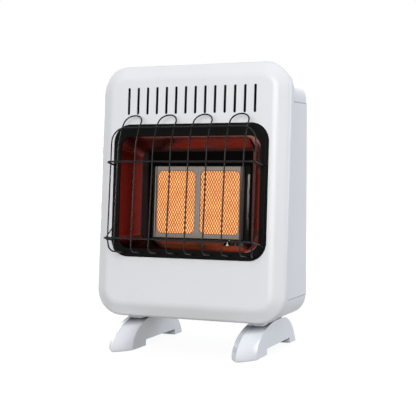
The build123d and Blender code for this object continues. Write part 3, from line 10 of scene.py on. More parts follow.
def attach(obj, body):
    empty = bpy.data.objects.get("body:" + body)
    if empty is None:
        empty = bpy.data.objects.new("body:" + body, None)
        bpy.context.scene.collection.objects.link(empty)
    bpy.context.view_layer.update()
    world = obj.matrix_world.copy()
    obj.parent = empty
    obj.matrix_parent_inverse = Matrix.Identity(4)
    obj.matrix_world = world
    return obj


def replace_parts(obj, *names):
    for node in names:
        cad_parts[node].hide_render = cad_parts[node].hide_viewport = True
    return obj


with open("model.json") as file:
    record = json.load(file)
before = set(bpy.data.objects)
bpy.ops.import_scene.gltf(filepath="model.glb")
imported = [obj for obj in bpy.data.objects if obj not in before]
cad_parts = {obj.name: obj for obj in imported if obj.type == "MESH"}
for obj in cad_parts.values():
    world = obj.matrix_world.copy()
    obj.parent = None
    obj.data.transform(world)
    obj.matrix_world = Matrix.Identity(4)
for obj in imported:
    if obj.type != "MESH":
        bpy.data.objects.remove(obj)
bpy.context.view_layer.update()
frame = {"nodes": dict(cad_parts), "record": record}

MM = 0.001
ROOT = "heater"                         # the body that stands still

# ---------------------------------------------------------------- shared places
# The cabinet's front leans back. Places on it are given across, up its face and forward of it.
LEAN = radians(4.2)
FRONT_FOOT = -97.0 * MM                 # where the front face's plane meets the floor
FRONT_FRAME = (
    Matrix.Translation((0.0, FRONT_FOOT, 0.0)) @ Matrix.Rotation(radians(90) - LEAN, 4, "X")
)
BURNER_CENTRE = 287.0 * MM              # up the face
WINDOW_WIDTH = 80.0 * MM                # the burner frame's two windows
WINDOW_HEIGHT = 120.0 * MM
WINDOW_GAP = 12.0 * MM
WINDOW_CORNER = 9.0 * MM


# ---------------------------------------------------------------- node helpers
def put(tree, kind, **settings):
    """New node with its properties set."""
    node = tree.nodes.new(kind)
    for key, value in settings.items():
        setattr(node, key, value)
    return node


def feed(tree, value, socket):
    """Link a socket into an input, or set the input to a plain number."""
    if isinstance(value, (int, float)):
        socket.default_value = value
    else:
        tree.links.new(value, socket)


def math_node(tree, operation, *values):
    """Math node whose inputs are sockets or plain numbers."""
    node = put(tree, "ShaderNodeMath", operation=operation)
    for socket, value in zip(node.inputs, values):
        feed(tree, value, socket)
    return node.outputs[0]


def times(tree, *values):
    """Product of sockets and plain numbers."""
    product = values[0]
    for value in values[1:]:
        product = math_node(tree, "MULTIPLY", product, value)
    return product


def shared(tree, first, second, share):
    """That share of the first value, with the rest of the second."""
    return math_node(tree, "ADD", times(tree, first, share), times(tree, second, 1.0 - share))


def remap(tree, value, low, high, at_low, at_high):
    """Run a value from one range to another, held at both ends."""
    node = put(tree, "ShaderNodeMapRange")
    tree.links.new(value, node.inputs["Value"])
    ends = {"From Min": low, "From Max": high, "To Min": at_low, "To Max": at_high}
    for label, number in ends.items():
        node.inputs[label].default_value = number
    return node.outputs["Result"]


def rise(tree, value, low, high, most=1.0):
    """0 where value is below low, rising to most at high."""
    return remap(tree, value, low, high, 0.0, most)


def fall(tree, value, low, high, most=1.0):
    """Most where value is below low, falling to 0 at high."""
    return remap(tree, value, low, high, most, 0.0)


def band(tree, value, middle, half, soft):
    """1 where value lies within half of middle, falling to 0 over soft."""
    off = math_node(tree, "ABSOLUTE", math_node(tree, "SUBTRACT", value, middle))
    return fall(tree, off, half, half + soft)


def blend(tree, factor, first, second):
    """Colour that runs from first to second with factor. Each is a colour or a socket."""
    mix = put(tree, "ShaderNodeMix", data_type="RGBA")
    tree.links.new(factor, mix.inputs["Factor"])
    for label, colour in (("A", first), ("B", second)):
        if isinstance(colour, tuple):
            mix.inputs[label].default_value = (*colour, 1.0)
        else:
            tree.links.new(colour, mix.inputs[label])
    return mix.outputs["Result"]


def axes(tree, vector):
    """X, Y and Z of a vector, by name."""
    split = put(tree, "ShaderNodeSeparateXYZ")
    tree.links.new(vector, split.inputs[0])
    return split.outputs


def own_place(tree):
    """A point's Object coordinates, which are the row frame's, in metres."""
    return put(tree, "ShaderNodeTexCoord").outputs["Object"]


def noise(tree, scale, detail, roughness, stretch=None):
    """Noise over a piece, optionally squeezed by a factor along each axis."""
    coordinates = own_place(tree)
    if stretch:
        mapping = put(tree, "ShaderNodeMapping")
        mapping.inputs["Scale"].default_value = stretch
        tree.links.new(coordinates, mapping.inputs["Vector"])
        coordinates = mapping.outputs["Vector"]
    node = put(tree, "ShaderNodeTexNoise")
    tree.links.new(coordinates, node.inputs["Vector"])
    for label, value in (("Scale", scale), ("Detail", detail), ("Roughness", roughness)):
        feed(tree, value, node.inputs[label])
    return node.outputs["Fac"]


def seen_rays(tree):
    """1 for what is seen straight on, mirrored or through glass, and 0 for what only lights."""
    rays = put(tree, "ShaderNodeLightPath").outputs
    mirrored = math_node(tree, "MAXIMUM", rays["Is Camera Ray"], rays["Is Glossy Ray"])
    return math_node(tree, "MAXIMUM", mirrored, rays["Is Transmission Ray"])


# ---------------------------------------------------------------- shared surface effects
def new_group(name, values, results):
    """Shader node group: its tree, the values that it takes, with defaults, and its results."""
    group = bpy.data.node_groups.new(name, "ShaderNodeTree")
    for label, default in values.items():
        socket = group.interface.new_socket(name=label, in_out="INPUT", socket_type="NodeSocketFloat")
        socket.default_value = default
    for label in results:
        group.interface.new_socket(name=label, in_out="OUTPUT", socket_type="NodeSocketFloat")
    entry = group.nodes.new("NodeGroupInput")
    way_out = group.nodes.new("NodeGroupOutput")
    return group, entry.outputs, way_out.inputs


def use(tree, group, **values):
    """Place a shared effect in a tree with its own values, and give its results by name."""
    node = put(tree, "ShaderNodeGroup", node_tree=group)
    for label, value in values.items():
        node.inputs[label.replace("_", " ")].default_value = value
    return node.outputs


def make_stoved_group():
    """Sprayed and stoved finish: fine orange peel, with slow changes of tone and gloss."""
    group, values, results = new_group(
        "stoved_finish", {"Peel Scale": 900.0}, ("Height", "Tone", "Gloss")
    )
    peel = noise(group, values["Peel Scale"], detail=2.0, roughness=0.5)
    drift = noise(group, scale=9.0, detail=4.0, roughness=0.55)
    haze = noise(group, scale=42.3, detail=5.0, roughness=0.65)
    group.links.new(peel, results["Height"])
    group.links.new(rise(group, drift, 0.3, 0.7), results["Tone"])
    group.links.new(rise(group, haze, 0.35, 0.7), results["Gloss"])
    return group


def make_rolled_group():
    """Rolled or brushed sheet: long fine streaks that run up it."""
    group, values, results = new_group("rolled_streaks", {"Fine Scale": 60.0}, ("Height", "Tone"))
    fine = noise(group, values["Fine Scale"], detail=3.0, roughness=0.6, stretch=(24.0, 24.0, 0.6))
    broad = noise(group, scale=18.0, detail=3.0, roughness=0.5, stretch=(5.0, 5.0, 0.5))
    group.links.new(fine, results["Height"])
    group.links.new(rise(group, shared(group, fine, broad, 0.55), 0.35, 0.65), results["Tone"])
    return group


def make_grain_group():
    """Grain of cast, moulded and ceramic surfaces: pits and specks at two sizes."""
    group, values, results = new_group("surface_grain", {"Grain Scale": 1400.0}, ("Height", "Specks"))
    fine = noise(group, values["Grain Scale"], detail=2.0, roughness=0.6)
    cells = put(group, "ShaderNodeTexVoronoi")
    group.links.new(own_place(group), cells.inputs["Vector"])
    group.links.new(times(group, values["Grain Scale"], 0.45), cells.inputs["Scale"])
    pits = rise(group, cells.outputs["Distance"], 0.0, 0.5)
    group.links.new(math_node(group, "ADD", fine, times(group, pits, 0.5)), results["Height"])
    group.links.new(rise(group, fine, 0.45, 0.75), results["Specks"])
    return group


def make_place_group():
    """Where a point lies on the leaning front: across, up the face and forward of it, in metres."""
    group, values, results = new_group(
        "front_place", {"Front Foot": FRONT_FOOT}, ("Across", "Up", "Forward")
    )
    point = axes(group, own_place(group))
    behind = math_node(group, "SUBTRACT", point["Y"], values["Front Foot"])
    up = math_node(
        group, "ADD", times(group, behind, sin(LEAN)), times(group, point["Z"], cos(LEAN))
    )
    forward = math_node(
        group, "SUBTRACT", times(group, point["Z"], sin(LEAN)), times(group, behind, cos(LEAN))
    )
    for label, place in (("Across", point["X"]), ("Up", up), ("Forward", forward)):
        group.links.new(place, results[label])
    return group


def make_window_group():
    """Distance from the nearer window's rounded edge, in metres: negative inside the window."""
    group, values, results = new_group(
        "window_edge",
        {
            "Half Width": WINDOW_WIDTH / 2,
            "Half Height": WINDOW_HEIGHT / 2,
            "Centre Across": (WINDOW_WIDTH + WINDOW_GAP) / 2,
            "Centre Up": BURNER_CENTRE,
            "Corner": WINDOW_CORNER,
        },
        ("Distance",),
    )
    place = use(group, PLACE)
    from_middle = math_node(group, "ABSOLUTE", place["Across"])
    sides = (
        (from_middle, values["Centre Across"], values["Half Width"]),
        (place["Up"], values["Centre Up"], values["Half Height"]),
    )
    squares = []
    for along, centre, half in sides:
        off = math_node(group, "ABSOLUTE", math_node(group, "SUBTRACT", along, centre))
        straight = math_node(group, "SUBTRACT", half, values["Corner"])
        beyond = math_node(group, "MAXIMUM", math_node(group, "SUBTRACT", off, straight), 0.0)
        squares.append(times(group, beyond, beyond))
    reach = math_node(group, "SQRT", math_node(group, "ADD", *squares))
    group.links.new(math_node(group, "SUBTRACT", reach, values["Corner"]), results["Distance"])
    return group


STOVED = make_stoved_group()
ROLLED = make_rolled_group()
GRAIN = make_grain_group()
PLACE = make_place_group()
WINDOW = make_window_group()

# ---------------------------------------------------------------- kinds of finish
SURFACE_IOR = 1.5
PEEL_HEIGHT = 0.06 * MM
STREAK_HEIGHT = 0.05 * MM
STREAK_STRENGTH = 0.15
GRAIN_HEIGHT = 0.08 * MM


class Finish:
    """A material with its Principled shader, ready for effects to be linked in."""

    def __init__(self, name, metallic=0.0):
        self.name = name
        self.material = bpy.data.materials.new(name)
        self.material.use_nodes = True
        self.tree = self.material.node_tree
        self.shader = self.tree.nodes["Principled BSDF"]
        self.shader.inputs["Metallic"].default_value = metallic
        self.shader.inputs["IOR"].default_value = SURFACE_IOR

    def colour(self, factor, first, second):
        """Base colour that runs from first to second with factor."""
        mixed = blend(self.tree, factor, first, second)
        self.tree.links.new(mixed, self.shader.inputs["Base Color"])

    def lay(self, mask, upper):
        """A second colour over the base colour, where the mask says so."""
        below = self.shader.inputs["Base Color"].links[0].from_socket
        self.colour(mask, below, upper)

    def gloss(self, factor, smooth, dull):
        """Roughness that runs from smooth to dull with factor."""
        roughness = remap(self.tree, factor, 0.0, 1.0, smooth, dull)
        self.tree.links.new(roughness, self.shader.inputs["Roughness"])

    def relief(self, height, strength, distance):
        """Bump from a height."""
        bump = put(self.tree, "ShaderNodeBump")
        bump.inputs["Strength"].default_value = strength
        bump.inputs["Distance"].default_value = distance
        self.tree.links.new(height, bump.inputs["Height"])
        self.tree.links.new(bump.outputs["Normal"], self.shader.inputs["Normal"])


def enamel(name, light, dark, smooth, dull, peel, scale, shine=0.5):
    """Stoved enamel or gloss moulding."""
    finish = Finish(name)
    finish.shader.inputs["Specular IOR Level"].default_value = shine
    stoved = use(finish.tree, STOVED, Peel_Scale=scale)
    finish.colour(stoved["Tone"], light, dark)
    finish.gloss(stoved["Gloss"], smooth, dull)
    finish.relief(stoved["Height"], peel, PEEL_HEIGHT)
    return finish


def sheet_metal(name, light, dark, smooth, dull, scale=60.0):
    """Bare rolled sheet with streaks."""
    finish = Finish(name, metallic=1.0)
    streaks = use(finish.tree, ROLLED, Fine_Scale=scale)
    finish.colour(streaks["Tone"], light, dark)
    finish.gloss(streaks["Tone"], smooth, dull)
    finish.relief(streaks["Height"], STREAK_STRENGTH, STREAK_HEIGHT)
    return finish


def grained(name, light, dark, smooth, dull, metallic=0.0, scale=1400.0, strength=0.3):
    """Cast, moulded or turned surface with fine grain."""
    finish = Finish(name, metallic=metallic)
    grain = use(finish.tree, GRAIN, Grain_Scale=scale)
    finish.colour(grain["Specks"], light, dark)
    finish.gloss(grain["Specks"], smooth, dull)
    finish.relief(grain["Height"], strength, GRAIN_HEIGHT)
    return finish


# ---------------------------------------------------------------- white cabinet and feet
CABINET_WHITE = {
    "light": (0.84, 0.845, 0.86), "dark": (0.815, 0.82, 0.835),
    "smooth": 0.28, "dull": 0.38, "peel": 0.05, "scale": 500.0,
}
LOUVER_CENTRE = 479.0 * MM              # up the face: a field a little larger than the louvers'
LOUVER_HALF_HEIGHT = 29.0 * MM
LOUVER_HALF_WIDTH = 141.0 * MM
LOUVER_SHADE_DEPTH = (-0.6 * MM, -0.3 * MM)       # forward: behind its outer skin the cover gets painted shade in the louvers
LOUVER_SHADE_BLACK = (0.004, 0.004, 0.005)
SEAM_HEIGHTS = (472.4 * MM, 104.4 * MM)  # shut lines at the side panels' top and foot
SEAM_HALF = 0.7 * MM
SEAM_SOFT = 0.6 * MM
SIDE_FACE = (184.5 * MM, 186.0 * MM)    # from the middle: the shut lines start on the sides
SEAM_GREY = (0.3, 0.32, 0.38)
FACES_UP = (0.3, 0.7)                   # how far a normal points up, on a slope and on a top
FOOT_SHADE_HEIGHTS = (44.0 * MM, 54.0 * MM)     # heights over which painted shade greys the feet's tops under the cabinet
# painted shade colour for the feet's tops
PAINTED_FOOT_SHADE = (0.08, 0.09, 0.13)
PAD_SHADE_HEIGHTS = (58.2 * MM, 58.6 * MM)       # height above which a foot's pad is painted dark, as painted shade under the cabinet
PAD_SHADE_BLACK = (0.02, 0.022, 0.03)


def cover_finish():
    """Cover enamel, with painted shade on the cut edges and the inside where the louvers open."""
    finish = enamel("cover_enamel", **CABINET_WHITE)
    tree = finish.tree
    place = use(tree, PLACE)
    inside = fall(tree, place["Forward"], *LOUVER_SHADE_DEPTH)
    up = band(tree, place["Up"], LOUVER_CENTRE, LOUVER_HALF_HEIGHT, soft=1.0 * MM)
    across = band(tree, place["Across"], 0.0, LOUVER_HALF_WIDTH, soft=2.0 * MM)
    # painted shade: the louvers' walls and the inside behind them are near-black
    finish.lay(times(tree, inside, up, across), LOUVER_SHADE_BLACK)
    return finish


def seamed_finish():
    """Cabinet enamel with the shut lines along the side panels' top and foot."""
    finish = enamel("seamed_enamel", **CABINET_WHITE)
    tree = finish.tree
    point = axes(tree, own_place(tree))
    seams = [band(tree, point["Z"], height, SEAM_HALF, SEAM_SOFT) for height in SEAM_HEIGHTS]
    outside = rise(tree, math_node(tree, "ABSOLUTE", point["X"]), *SIDE_FACE, most=0.9)
    finish.lay(times(tree, math_node(tree, "MAXIMUM", *seams), outside), SEAM_GREY)
    return finish


def foot_finish():
    """Glossy moulded foot: painted shade greys its top where the cabinet shades it and darkens its
    pad.
    """
    finish = enamel(
        "moulded_foot", light=(0.87, 0.885, 0.91), dark=(0.845, 0.86, 0.885),
        smooth=0.16, dull=0.26, peel=0.03, scale=400.0,
    )
    tree = finish.tree
    height = axes(tree, own_place(tree))["Z"]
    facing = axes(tree, put(tree, "ShaderNodeNewGeometry").outputs["True Normal"])
    upward = rise(tree, facing["Z"], *FACES_UP)
    # painted shade: upward faces just under the cabinet are greyed
    finish.lay(times(tree, upward, rise(tree, height, *FOOT_SHADE_HEIGHTS, most=0.9)), PAINTED_FOOT_SHADE)
    # painted shade: the pad under the cabinet is darkened
    finish.lay(rise(tree, height, *PAD_SHADE_HEIGHTS), PAD_SHADE_BLACK)
    return finish


# ---------------------------------------------------------------- burner and reflector
PRESSED_PITCH = 4.1 * MM                # fine ribs across the burner's frame
RIB_SHADE = (0.12, 0.1, 0.09)
WINDOW_SCORCH = (0.3 * MM, 2.4 * MM)    # from a window's edge outwards
SCORCH_BROWN = (0.17, 0.07, 0.05)
EDGE_LINE = 88.9 * MM                   # from the middle: a dark line near the side edges
EDGE_LINE_HALF = 0.9 * MM
EDGE_LINE_SHADE = (0.02, 0.017, 0.015)
FRAME_FOOT = (221.0 * MM, 232.0 * MM)   # up the face: the frame's lower edge is darker
FOOT_BROWN = (0.12, 0.1, 0.085)

BOX_RIM = (-62.0 * MM, -58.0 * MM)      # forward: the burner box is bare at its front rim
RIM_TAN = (0.23, 0.2, 0.16)
STRIP_ACROSS = 96.5 * MM                # a painted highlight strip to the right of the burner
STRIP_HALF_WIDTH = 1.6 * MM
STRIP_CENTRE = 289.0 * MM               # up the face
STRIP_HALF_HEIGHT = 53.0 * MM
STRIP_BRIGHTENS = (228.0 * MM, 338.0 * MM)
# painted highlight colour of the strip
STRIP_HIGHLIGHT_GREY = (0.3, 0.3, 0.29)

BACK_PLATE = (-46.8 * MM, -45.5 * MM)   # forward: the flat back ends and the walls start
LOWER_WALL = (204.0 * MM, 214.0 * MM)   # up the face
LOWER_DULLS = (30.0 * MM, 85.0 * MM)    # across: the lower wall mirrors less on the left
# painted reflection of the plaques' glow on the pressed walls
WALL_GLOW_REFLECTION = (0.19, 0.032, 0.024)
WALL_REFLECTION_SHARE = 0.45
PINK_STARTS = (-130.0 * MM, -80.0 * MM)  # across: the left wall has little of it
WALL_PINK_REFLECTION = (0.32, 0.125, 0.11)
WELL_EDGE = -107.0 * MM                 # across: where the flat back turns into the burner's well
WELL_EDGE_HALF = 0.6 * MM
EDGE_FADES = (220.0 * MM, 340.0 * MM)   # up the face
# painted highlight along the well's edge
WELL_EDGE_HIGHLIGHT = (0.1, 0.1, 0.115)
RIGHT_MARGIN = (111.5 * MM, 115.5 * MM)  # across: strips of the flat back beside the walls, given painted reflections
MARGIN_GLOW_REFLECTION = (0.34, 0.085, 0.065)
LEFT_MARGIN = (-111.0 * MM, -108.0 * MM)
MARGIN_HIGHLIGHT_GREY = (0.07, 0.064, 0.066)
CURL_START = 12.0 * MM                  # behind the face: the walls curl outwards from here
CURL_GROWTH = 7.5                       # height of the curl per metre, over its reach squared
WALL_FLARE = 0.14                       # slope of the walls below the curl
LEFT_FLARES = (-130.0 * MM, -100.0 * MM)  # across: the left wall is hardly flared
RIGHT_FLARES = (116.0 * MM, 122.0 * MM)
RIGHT_EXTRA = 1.8                       # flare that the right wall has on top of the others'


def burner_frame_finish():
    """Aluminised sheet: fine ribs, browned by heat round the windows and darker at its edges."""
    finish = grained(
        "heat_tinted_frame", light=(0.27, 0.245, 0.214), dark=(0.22, 0.2, 0.175),
        smooth=0.5, dull=0.68, metallic=0.4, scale=700.0, strength=0.2,
    )
    tree = finish.tree
    place = use(tree, PLACE)
    ribs = math_node(tree, "SINE", times(tree, place["Across"], 2 * pi / PRESSED_PITCH))
    finish.lay(rise(tree, ribs, 0.1, 1.0, most=0.45), RIB_SHADE)
    edge = use(tree, WINDOW)
    finish.lay(fall(tree, edge["Distance"], *WINDOW_SCORCH, most=0.9), SCORCH_BROWN)
    from_middle = math_node(tree, "ABSOLUTE", place["Across"])
    line = band(tree, from_middle, EDGE_LINE, EDGE_LINE_HALF, soft=0.5 * MM)
    finish.lay(line, EDGE_LINE_SHADE)
    finish.lay(fall(tree, place["Up"], *FRAME_FOOT, most=0.4), FOOT_BROWN)
    return finish


def sooted_finish():
    """Blackened sheet round the burner: bare at the box's front rim, with one painted highlight
    strip.
    """
    finish = sheet_metal(
        "sooted_sheet", light=(0.02, 0.02, 0.021), dark=(0.01, 0.01, 0.01),
        smooth=0.45, dull=0.65, scale=40.0,
    )
    tree = finish.tree
    place = use(tree, PLACE)
    finish.lay(rise(tree, place["Forward"], *BOX_RIM), RIM_TAN)
    across = band(tree, place["Across"], STRIP_ACROSS, STRIP_HALF_WIDTH, soft=0.8 * MM)
    bright = rise(tree, place["Up"], *STRIP_BRIGHTENS)
    up = band(tree, place["Up"], STRIP_CENTRE, STRIP_HALF_HEIGHT, soft=1.0 * MM)
    # painted highlight: a grey strip beside the burner, brightening upwards
    finish.lay(times(tree, across, bright, up), STRIP_HIGHLIGHT_GREY)
    return finish


def paint_wall_reflections(finish, place, walls):
    """Painted reflection of the red glow on the pressed walls, less of it low down, and a painted
    highlight at the well's edge.
    """
    tree = finish.tree
    low = fall(tree, place["Up"], *LOWER_WALL)
    dull = remap(tree, place["Across"], *LOWER_DULLS, at_low=0.85, at_high=0.2)
    shine = times(tree, walls, math_node(tree, "SUBTRACT", 1.0, times(tree, low, dull)))
    # painted reflection: the walls are tinted red and pink for the glow they mirror
    finish.lay(times(tree, shine, WALL_REFLECTION_SHARE), WALL_GLOW_REFLECTION)
    finish.lay(times(tree, shine, rise(tree, place["Across"], *PINK_STARTS)), WALL_PINK_REFLECTION)
    edge = band(tree, place["Across"], WELL_EDGE, WELL_EDGE_HALF, soft=0.8 * MM)
    fading = remap(tree, place["Up"], *EDGE_FADES, at_low=0.8, at_high=0.15)
    # painted highlight: a grey line along the well's edge, fading upwards
    finish.lay(times(tree, edge, fading), WELL_EDGE_HIGHLIGHT)


def paint_back_reflections(finish, place, walls):
    """Painted reflections on the flat back's margins beside its two walls: red glow on the right, a
    grey highlight on the left.
    """
    tree = finish.tree
    flat = math_node(tree, "SUBTRACT", 1.0, walls)
    right = rise(tree, place["Across"], *RIGHT_MARGIN, most=0.9)
    # painted reflection of the red glow on the right margin
    finish.lay(times(tree, flat, right), MARGIN_GLOW_REFLECTION)
    left = fall(tree, place["Across"], *LEFT_MARGIN, most=0.9)
    # painted highlight on the left margin
    finish.lay(times(tree, flat, left), MARGIN_HIGHLIGHT_GREY)


def wall_flare(tree, place):
    """Height in metres that tilts the walls outwards, for what they mirror."""
    inner = rise(tree, place["Across"], *LEFT_FLARES)
    right = rise(tree, place["Across"], *RIGHT_FLARES, most=RIGHT_EXTRA)
    turned = math_node(tree, "ADD", inner, right)
    rim = math_node(tree, "MAXIMUM", math_node(tree, "ADD", place["Forward"], CURL_START), 0.0)
    curl = times(tree, rim, rim, CURL_GROWTH)
    flare = math_node(tree, "ADD", curl, times(tree, place["Forward"], WALL_FLARE))
    return times(tree, flare, turned, -1.0)


def reflector_finish():
    """Dark steel: its near-black tint is a painted reflection of a dark room; the pressed walls
    mirror the glow, with painted reflections of it added.
    """
    finish = Finish("painted_reflection_steel", metallic=1.0)
    tree = finish.tree
    stoved = use(tree, STOVED, Peel_Scale=240.0)
    finish.gloss(stoved["Gloss"], smooth=0.17, dull=0.26)
    # painted reflection: the near-black tint stands in for a dark room mirrored
    finish.colour(stoved["Tone"], (0.0035, 0.0028, 0.0026), (0.002, 0.0018, 0.0018))
    place = use(tree, PLACE)
    walls = rise(tree, place["Forward"], *BACK_PLATE)
    paint_wall_reflections(finish, place, walls)
    paint_back_reflections(finish, place, walls)
    finish.relief(wall_flare(tree, place), strength=1.0, distance=1.0)
    return finish


# ---------------------------------------------------------------- a finish for every slot
PLAIN_FINISHES = (
    enamel(
        "bezel_black", light=(0.0045, 0.004, 0.0038), dark=(0.003, 0.003, 0.003),
        smooth=0.3, dull=0.42, peel=0.1, scale=1100.0, shine=0.06,
    ),
    enamel(
        "guard_black", light=(0.008, 0.007, 0.007), dark=(0.005, 0.005, 0.005),
        smooth=0.2, dull=0.32, peel=0.08, scale=1300.0, shine=0.2,
    ),
    sheet_metal(
        "burner_sheet", light=(0.36, 0.33, 0.28), dark=(0.26, 0.235, 0.2), smooth=0.42, dull=0.6,
    ),
    sheet_metal(
        "plain_sheet", light=(0.2, 0.205, 0.21), dark=(0.12, 0.125, 0.13),
        smooth=0.35, dull=0.55, scale=40.0,
    ),
    sheet_metal(
        "tube_alloy", light=(0.62, 0.63, 0.64), dark=(0.48, 0.49, 0.5),
        smooth=0.25, dull=0.4, scale=80.0,
    ),
    sheet_metal(
        "dial_alloy", light=(0.72, 0.72, 0.73), dark=(0.6, 0.6, 0.61),
        smooth=0.3, dull=0.42, scale=70.0,
    ),
    grained(
        "gasket_fibre", light=(0.62, 0.6, 0.55), dark=(0.45, 0.43, 0.38),
        smooth=0.85, dull=1.0, scale=700.0, strength=0.7,
    ),
    grained(
        "brass_fittings", light=(0.72, 0.53, 0.22), dark=(0.5, 0.35, 0.13),
        smooth=0.2, dull=0.38, metallic=1.0, scale=900.0, strength=0.1,
    ),
    grained(
        "couple_metal", light=(0.6, 0.34, 0.2), dark=(0.38, 0.2, 0.12),
        smooth=0.3, dull=0.5, metallic=1.0, scale=900.0, strength=0.15,
    ),
    grained(
        "insulator_white", light=(0.82, 0.81, 0.78), dark=(0.7, 0.68, 0.64),
        smooth=0.15, dull=0.3, scale=900.0, strength=0.08,
    ),
    grained(
        "cast_alloy", light=(0.5, 0.5, 0.51), dark=(0.34, 0.34, 0.35),
        smooth=0.4, dull=0.6, metallic=1.0, scale=1100.0, strength=0.4,
    ),
    grained(
        "steel_turned", light=(0.52, 0.52, 0.52), dark=(0.38, 0.38, 0.38),
        smooth=0.22, dull=0.36, metallic=1.0, scale=1600.0, strength=0.1,
    ),
    grained(
        "knob_black", light=(0.022, 0.022, 0.023), dark=(0.014, 0.014, 0.014),
        smooth=0.38, dull=0.52, scale=1500.0, strength=0.35,
    ),
    grained(
        "plated_steel", light=(0.6, 0.6, 0.57), dark=(0.45, 0.45, 0.42),
        smooth=0.2, dull=0.36, metallic=1.0, strength=0.12,
    ),
    grained(
        "button_red", light=(0.5, 0.018, 0.012), dark=(0.38, 0.012, 0.008),
        smooth=0.18, dull=0.3, scale=1500.0, strength=0.08,
    ),
    grained(
        "wire_sleeve", light=(0.36, 0.33, 0.3), dark=(0.25, 0.23, 0.2),
        smooth=0.55, dull=0.75, scale=1200.0, strength=0.2,
    ),
)
PLAQUE_RIM = grained(
    "plaque_rim", light=(0.5, 0.42, 0.35), dark=(0.35, 0.27, 0.2), smooth=0.8, dull=0.95,
)
FINISHES = {finish.name: finish for finish in PLAIN_FINISHES}
FINISHES["white_enamel"] = seamed_finish()
FINISHES["foot_white"] = foot_finish()
FINISHES["polished_sheet"] = reflector_finish()
FINISHES["plaque_ceramic"] = PLAQUE_RIM

# Pieces that differ from the others of their slot: the cover, and what heat and soot reach.
SPECIAL = dict.fromkeys(
    ("burner_mount_plate", "burner_box", "burner_screws", "mount_plate_screws"), sooted_finish()
)
SPECIAL["front_cover"] = cover_finish()
SPECIAL["burner_face_frame"] = burner_frame_finish()
SPECIAL["top_deflector"] = grained(
    "soot_black_sheet", light=(0.006, 0.006, 0.006), dark=(0.003, 0.003, 0.003),
    smooth=0.6, dull=0.8, scale=500.0, strength=0.2,
)
SPECIAL["pilot_burner"] = grained(
    "sooted_brass", light=(0.02, 0.015, 0.01), dark=(0.01, 0.008, 0.006),
    smooth=0.45, dull=0.7, metallic=1.0, scale=900.0,
)
SPECIAL["thermocouple"] = grained(
    "sooted_couple", light=(0.025, 0.018, 0.013), dark=(0.012, 0.009, 0.007),
    smooth=0.45, dull=0.7, metallic=1.0, scale=900.0,
)


def dress(target, finish):
    """Give every slot of a piece the one finish."""
    slots = target.data.materials
    if not slots:
        slots.append(finish.material)
    for index in range(len(slots)):
        slots[index] = finish.material


slot_of = {part["node"]: part["material_slot"] for part in frame["record"]["subparts"]}
for node_name, node_object in frame["nodes"].items():
    dress(node_object, SPECIAL.get(node_name) or FINISHES[slot_of[node_name]])


# ---------------------------------------------------------------- building pieces
def finished(name, mesh, *finishes, body=ROOT, smooth=False):
    """Object from a bmesh, dressed and riding on its body."""
    bmesh.ops.recalc_face_normals(mesh, faces=mesh.faces)
    data = bpy.data.meshes.new(name)
    mesh.to_mesh(data)
    mesh.free()
    if smooth:
        for polygon in data.polygons:
            polygon.use_smooth = True
    for finish in finishes:
        data.materials.append(finish.material)
    piece = bpy.data.objects.new(name, data)
    bpy.context.scene.collection.objects.link(piece)
    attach(piece, body)
    return piece


# ---------------------------------------------------------------- glowing plaques
PLAQUE_DEPTH = 48.1 * MM                # the faces lie this far behind the cabinet's face
PLAQUE_WIDTH = 89.0 * MM
PLAQUE_HEIGHT = 131.0 * MM
PLAQUE_THICKNESS = 13.0 * MM
PLAQUE_GAP = 1.0 * MM
CELL_WIDTH = 5.27 * MM                  # rhombic pockets in a plaque's face
CELL_HEIGHT = 9.9 * MM
CELLS_A_SIDE = 28                       # of the lattice that a face is cut from
RIB = 2.2 * MM
POCKET_DEPTH = 1.1 * MM
POCKET_SLOT, RIB_SLOT, RIM_SLOT = range(3)


def glowing(name, core, edge, power):
    """Red-hot ceramic: glows more in places, with the porous body's own grain."""
    finish = Finish(name)
    tree = finish.tree
    grain = use(tree, GRAIN, Grain_Scale=1100.0)
    finish.colour(grain["Specks"], (0.09, 0.035, 0.02), (0.06, 0.02, 0.012))
    finish.gloss(grain["Specks"], smooth=0.85, dull=1.0)
    finish.relief(grain["Height"], strength=0.4, distance=0.1 * MM)
    patches = noise(tree, scale=42.0, detail=3.0, roughness=0.6)
    cells = noise(tree, scale=210.0, detail=2.0, roughness=0.5)
    heat = rise(tree, shared(tree, patches, cells, 0.45), 0.38, 0.62)
    tree.links.new(blend(tree, heat, edge, core), finish.shader.inputs["Emission Color"])
    finish.shader.inputs["Emission Strength"].default_value = power
    return finish


POCKET_GLOW = glowing(
    "plaque_pocket_glow", core=(1.0, 0.53, 0.17), edge=(0.86, 0.4, 0.12), power=1.35
)
RIB_GLOW = glowing("plaque_rib_glow", core=(1.0, 0.09, 0.045), edge=(0.7, 0.05, 0.025), power=0.35)


